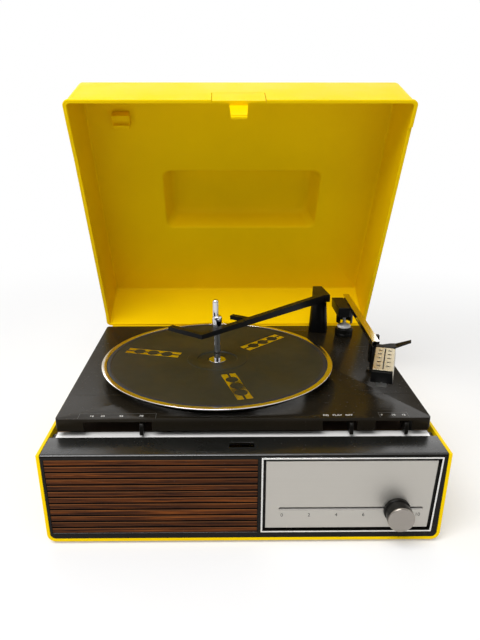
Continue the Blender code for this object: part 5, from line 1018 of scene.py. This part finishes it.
floor_in, floor_out, top_in = LID_H + RECESS_H - LID_WALL, LID_H + RECESS_H, LID_H - LID_WALL
inner_loops = [lid_level(floor_in, 0.030, 0.004, True),
               *edge_loops(0.0065, floor_in, 0.0065, -1, False, FILLET_R, 0.5, True),
               *edge_loops(0.0, top_in + 0.0025, 0.0025, -1, True, FILLET_R, 1.0, True),
               *edge_loops(LID_WALL + 0.0030, top_in, 0.0030, -1, False, CORNER_R)]
bead = ((0.0004, LID_WALL, 0.0035, 0.0), (0.0, LID_WALL - 0.0004, 0.0038, 0.0), (0.0, 0.0004, 0.0062, 0.0008),
        (0.0004, 0.0, CORNER_R, 0.0010), (0.0036, 0.0, CORNER_R, 0.0010), (0.0041, 0.0, CORNER_R, 0.0004),
        (0.0044, 0.0, CORNER_R, 0.0))
bead_loops = [lid_level(n, inset, radius, flare=flare) for n, inset, radius, flare in bead]
outer_loops = [*edge_loops(0.0, LID_H - 0.0045, 0.0045, 1, True, CORNER_R),
               *edge_loops(-LID_WALL - 0.0025, LID_H, 0.0025, 1, False, FILLET_R, 1.0, True),
               *edge_loops(-LID_WALL, floor_out - 0.007, 0.007, 1, True, 0.0110, 0.5, True),
               lid_level(floor_out, 0.030, 0.004, True)]
stack = np.array(inner_loops + bead_loops + outer_loops)
rim = (stack[:, :, 2] < STEP_N) & (stack[:, :, 1] > STEP_FROM) & (stack[:, :, 1] < STEP_TO)
stack[:, :, 2] = np.where(rim, STEP_N, stack[:, :, 2])


def open_lid(points):
    """Closed lid axes (x, u, n) to world: turn by the opening angle about the hinge line.
    y = hinge - u cos a + n sin a, z = hinge + u sin a + n cos a."""
    x, u, n = points[..., 0], points[..., 1], points[..., 2]
    y = HINGE[1] - u * math.cos(OPEN) + n * math.sin(OPEN)
    z = HINGE[2] + u * math.sin(OPEN) + n * math.cos(OPEN)
    return world(np.stack([x, y, z], axis=-1))


ring_count, ring_size = stack.shape[:2]
shell_faces = grid_faces(ring_count, ring_size).tolist()
shell_faces.append(list(range(ring_size)))
shell_faces.append(list(range((ring_count - 1) * ring_size, ring_count * ring_size))[::-1])
shell_data = mesh_from("lid_shell_moulded", open_lid(stack.reshape(-1, 3)), shell_faces, WELD)
print("lid loops", ring_count, "of", ring_size, "points")

# %% [markdown]
# The latch sits in a notch in the front wall. The notch is cut with a box in the lid's own axes,
# a little wider than the latch plate.

# %% Lid shell with its notch
NOTCH = ((-0.0308, 0.0268), (0.3282, 0.3425), (-0.002, 0.0298))

lid_shell = link_object("lid_shell_moulded", shell_data)
shell_data.materials.append(YELLOW)
notch = link_object("notch", mesh_from("notch", open_lid(box_points(*NOTCH)), BOX_FACES.tolist()))
carve(lid_shell, [notch])
shade(lid_shell.data, 28.0)
join_frame(lid_shell, "lid", "lid_shell")
print("lid faces", len(lid_shell.data.polygons))

# %% [markdown]
# ## Eased copies
# Machined and moulded pieces with flat faces have the right shape already, but their edges are
# perfectly sharp, and no real edge is. Such a node is copied, its triangles are welded and merged
# into flat faces, and a narrow bevel breaks the edges, so that each catches a line of light.

# %% Ease the flat-faced pieces
BREAK_ANGLE = 32.0
SAME_POINT, SAME_PLANE = 0.00002, math.radians(0.6)


def eased(node, width):
    """A welded copy of a CAD node with its edges broken by a narrow bevel."""
    data = nodes[node].data.copy()
    data.name = node + "_eased"
    shape = bmesh.new()
    shape.from_mesh(data)
    bmesh.ops.remove_doubles(shape, verts=shape.verts, dist=SAME_POINT)
    bmesh.ops.dissolve_limit(shape, angle_limit=SAME_PLANE, verts=shape.verts, edges=shape.edges)
    shape.to_mesh(data)
    shape.free()
    made = link_object(node + "_eased", data)
    shade(data, BREAK_ANGLE)
    edge = made.modifiers.new("broken_edges", "BEVEL")
    edge.width = width
    edge.segments = 2
    edge.limit_method = "ANGLE"
    edge.angle_limit = math.radians(BREAK_ANGLE)
    join_frame(made, node_body[node], node)
    return made


easing = {
    "base_tray": 0.0007, "front_fascia": 0.0005, "speaker_grille": 0.0006, "panel_bezel": 0.0002,
    "control_panel": 0.0004, "trim_strip": 0.0003, "deck_plate": 0.0003, "speed_lever": 0.0004,
    "play_lever": 0.0004, "size_lever": 0.0004, "overarm": 0.0005, "tonearm_turret": 0.0005, "arm_tube": 0.0003,
    "headshell": 0.0003, "headshell_cover": 0.0001, "finger_lift": 0.0004, "cartridge": 0.0003, "arm_rest": 0.0003,
    "lid_latch": 0.0005, "spindle_clip": 0.0004, **dict.fromkeys(HINGES, 0.0002), "cord_gland": 0.0004,
    "motor_board": 0.0004,
}
eased_copy = {node: eased(node, width) for node, width in easing.items()}
print("eased copies", len(eased_copy))

# %% [markdown]
# Three pieces have two finishes. The bezel is bright on its front face only, and the knob's cap only
# near its front. The fascia's up-facing faces take a second copy of its black, painted lighter and
# made more reflective, so that its ledge reads as lit from above. The faces are told apart by an
# array of their normals or of their places.

# %% Second finishes
CAP_BLACK_TO = 0.0146


def second_finish(piece, material, chosen):
    """Give the chosen faces (a true or false array) a second material."""
    piece.data.materials.append(material)
    piece.data.polygons.foreach_set("material_index", chosen.astype(np.int32))
    piece.data.update()


def face_rows(piece, what):
    """One row of three numbers per face: its normal or its center."""
    rows = np.empty(len(piece.data.polygons) * 3)
    piece.data.polygons.foreach_get(what, rows)
    return rows.reshape(-1, 3)


bezel = eased_copy["panel_bezel"]
second_finish(bezel, BLACK, face_rows(bezel, "normal")[:, 1] > -0.5)
second_finish(cap, BLACK, face_rows(cap, "center")[:, 1] > knob_front[1] - CAP_BLACK_TO)
ledge = eased_copy["front_fascia"]
# The fascia's up-facing faces get the copy of the black that is painted lighter as lit tops.
second_finish(ledge, LIT_LEDGE_BLACK, face_rows(ledge, "normal")[:, 2] > 0.5)
print("bezel faces", len(bezel.data.polygons))

# %% [markdown]
# ## Printing
# The deck carries small white figures over each lever: speeds, play words and record sizes. They
# are text curves, turned into thin meshes. The control plate gets a plain number scale under its
# slot, in place of the words there; the lines above it stay bare.

# %% Lettering
PRINT_THICK, LIFT = 0.00003, 0.00004
DECK_TOP = 0.1073
LABEL_Y, PANEL_Y, PANEL_Z = 0.0424, 0.00056, 0.0270
SCALE_FROM, SCALE_STEP = 0.0345, 0.0250


def lettering(name, words, size, place, upright, material):
    """A line of text as thin mesh, centred on a place. It lies flat on top, or stands facing the front."""
    curve = bpy.data.curves.new(name, "FONT")
    curve.body = words
    curve.size = size
    curve.align_x = curve.align_y = "CENTER"
    curve.extrude = PRINT_THICK
    curve.resolution_u = 4
    flat_text = link_object(name + "_curve", curve)
    data = shown_mesh(flat_text)
    turn = Matrix.Rotation(math.pi / 2, 4, "X") if upright else Matrix.Identity(4)
    data.transform(Matrix.Translation(Vector(place)) @ turn)
    bpy.data.objects.remove(flat_text, do_unlink=True)
    data.name = name
    data.materials.clear()
    data.materials.append(material)
    join_frame(link_object(name, data), "base")


labels = (("speed_16", "16", -0.1426), ("speed_33", "33", -0.1324), ("speed_45", "45", -0.1150),
          ("speed_78", "78", -0.0960), ("play_rej", "REJ", 0.0778), ("play_play", "PLAY", 0.0888),
          ("play_off", "OFF", 0.0999), ("size_7", "7", 0.1308), ("size_10", "10", 0.1418),
          ("size_12", "12", 0.1515))
for name, words, x in labels:
    lettering("print_" + name, words, 0.0040, world([x, LABEL_Y, DECK_TOP + LIFT]), False, WHITE_PRINT)
for number in range(6):
    x = SCALE_FROM + number * SCALE_STEP
    lettering("print_scale_" + str(2 * number), str(2 * number), 0.0050, world([x, PANEL_Y, PANEL_Z]), True,
              BLACK_PRINT)

# %% [markdown]
# Fine lines frame the speed and size figures. Each frame is a thin ribbon along three sides of a
# rectangle: its inner and outer edges are two rows of points, joined like any other grid. A pale
# liner shows inside the volume slot.

# %% Label frames and slot liner
LINE_WIDE, LINE_LIFT = 0.0003, 0.00006


def ribbon_frame(name, low, high, width, z, material):
    """A flat open frame round a rectangle: two rows of corner points, width apart, just above the surface."""
    path = np.array([[low[0], high[1]], [low[0], low[1]], [high[0], low[1]], [high[0], high[1]]])
    centre = (np.array(low) + np.array(high)) / 2
    inner = path - np.sign(path - centre) * width
    rows = [np.column_stack([line, np.full(4, level)]) for line, level in
            ((path, z), (inner, z), (inner, z - PRINT_THICK), (path, z - PRINT_THICK), (path, z))]
    piece_from(name, np.concatenate(rows), grid_faces(5, 4, around=False), material, "base")


LINE_GREY = moulded_finish("grey_line_print", (0.10, 0.10, 0.095), (0.07, 0.07, 0.065), (0.4, 0.5), 1500.0,
                           0.00001)
for name, left, right in (("speed_frame", -0.1550, -0.0822), ("size_frame", 0.1283, 0.1560)):
    low = world([left, 0.0476, 0.0])[:2]
    high = world([right, 0.0372, 0.0])[:2]
    ribbon_frame(name, low, high, LINE_WIDE, world([0, 0, DECK_TOP + LINE_LIFT])[2], LINE_GREY)

SLOT_Z = 0.0336
LINER_LOW, LINER_HIGH = SLOT_Z - 0.0016, SLOT_Z - 0.0012
LINER = ((0.0318, 0.1636), (0.0012, 0.0044), (LINER_LOW, LINER_HIGH))
SLOT_GREY = moulded_finish("slot_liner_grey", (0.55, 0.53, 0.50), (0.47, 0.45, 0.43), (0.5, 0.6), 800.0, 0.00002)
piece_from("slot_liner", world(box_points(*LINER)), BOX_FACES, SLOT_GREY, "base")
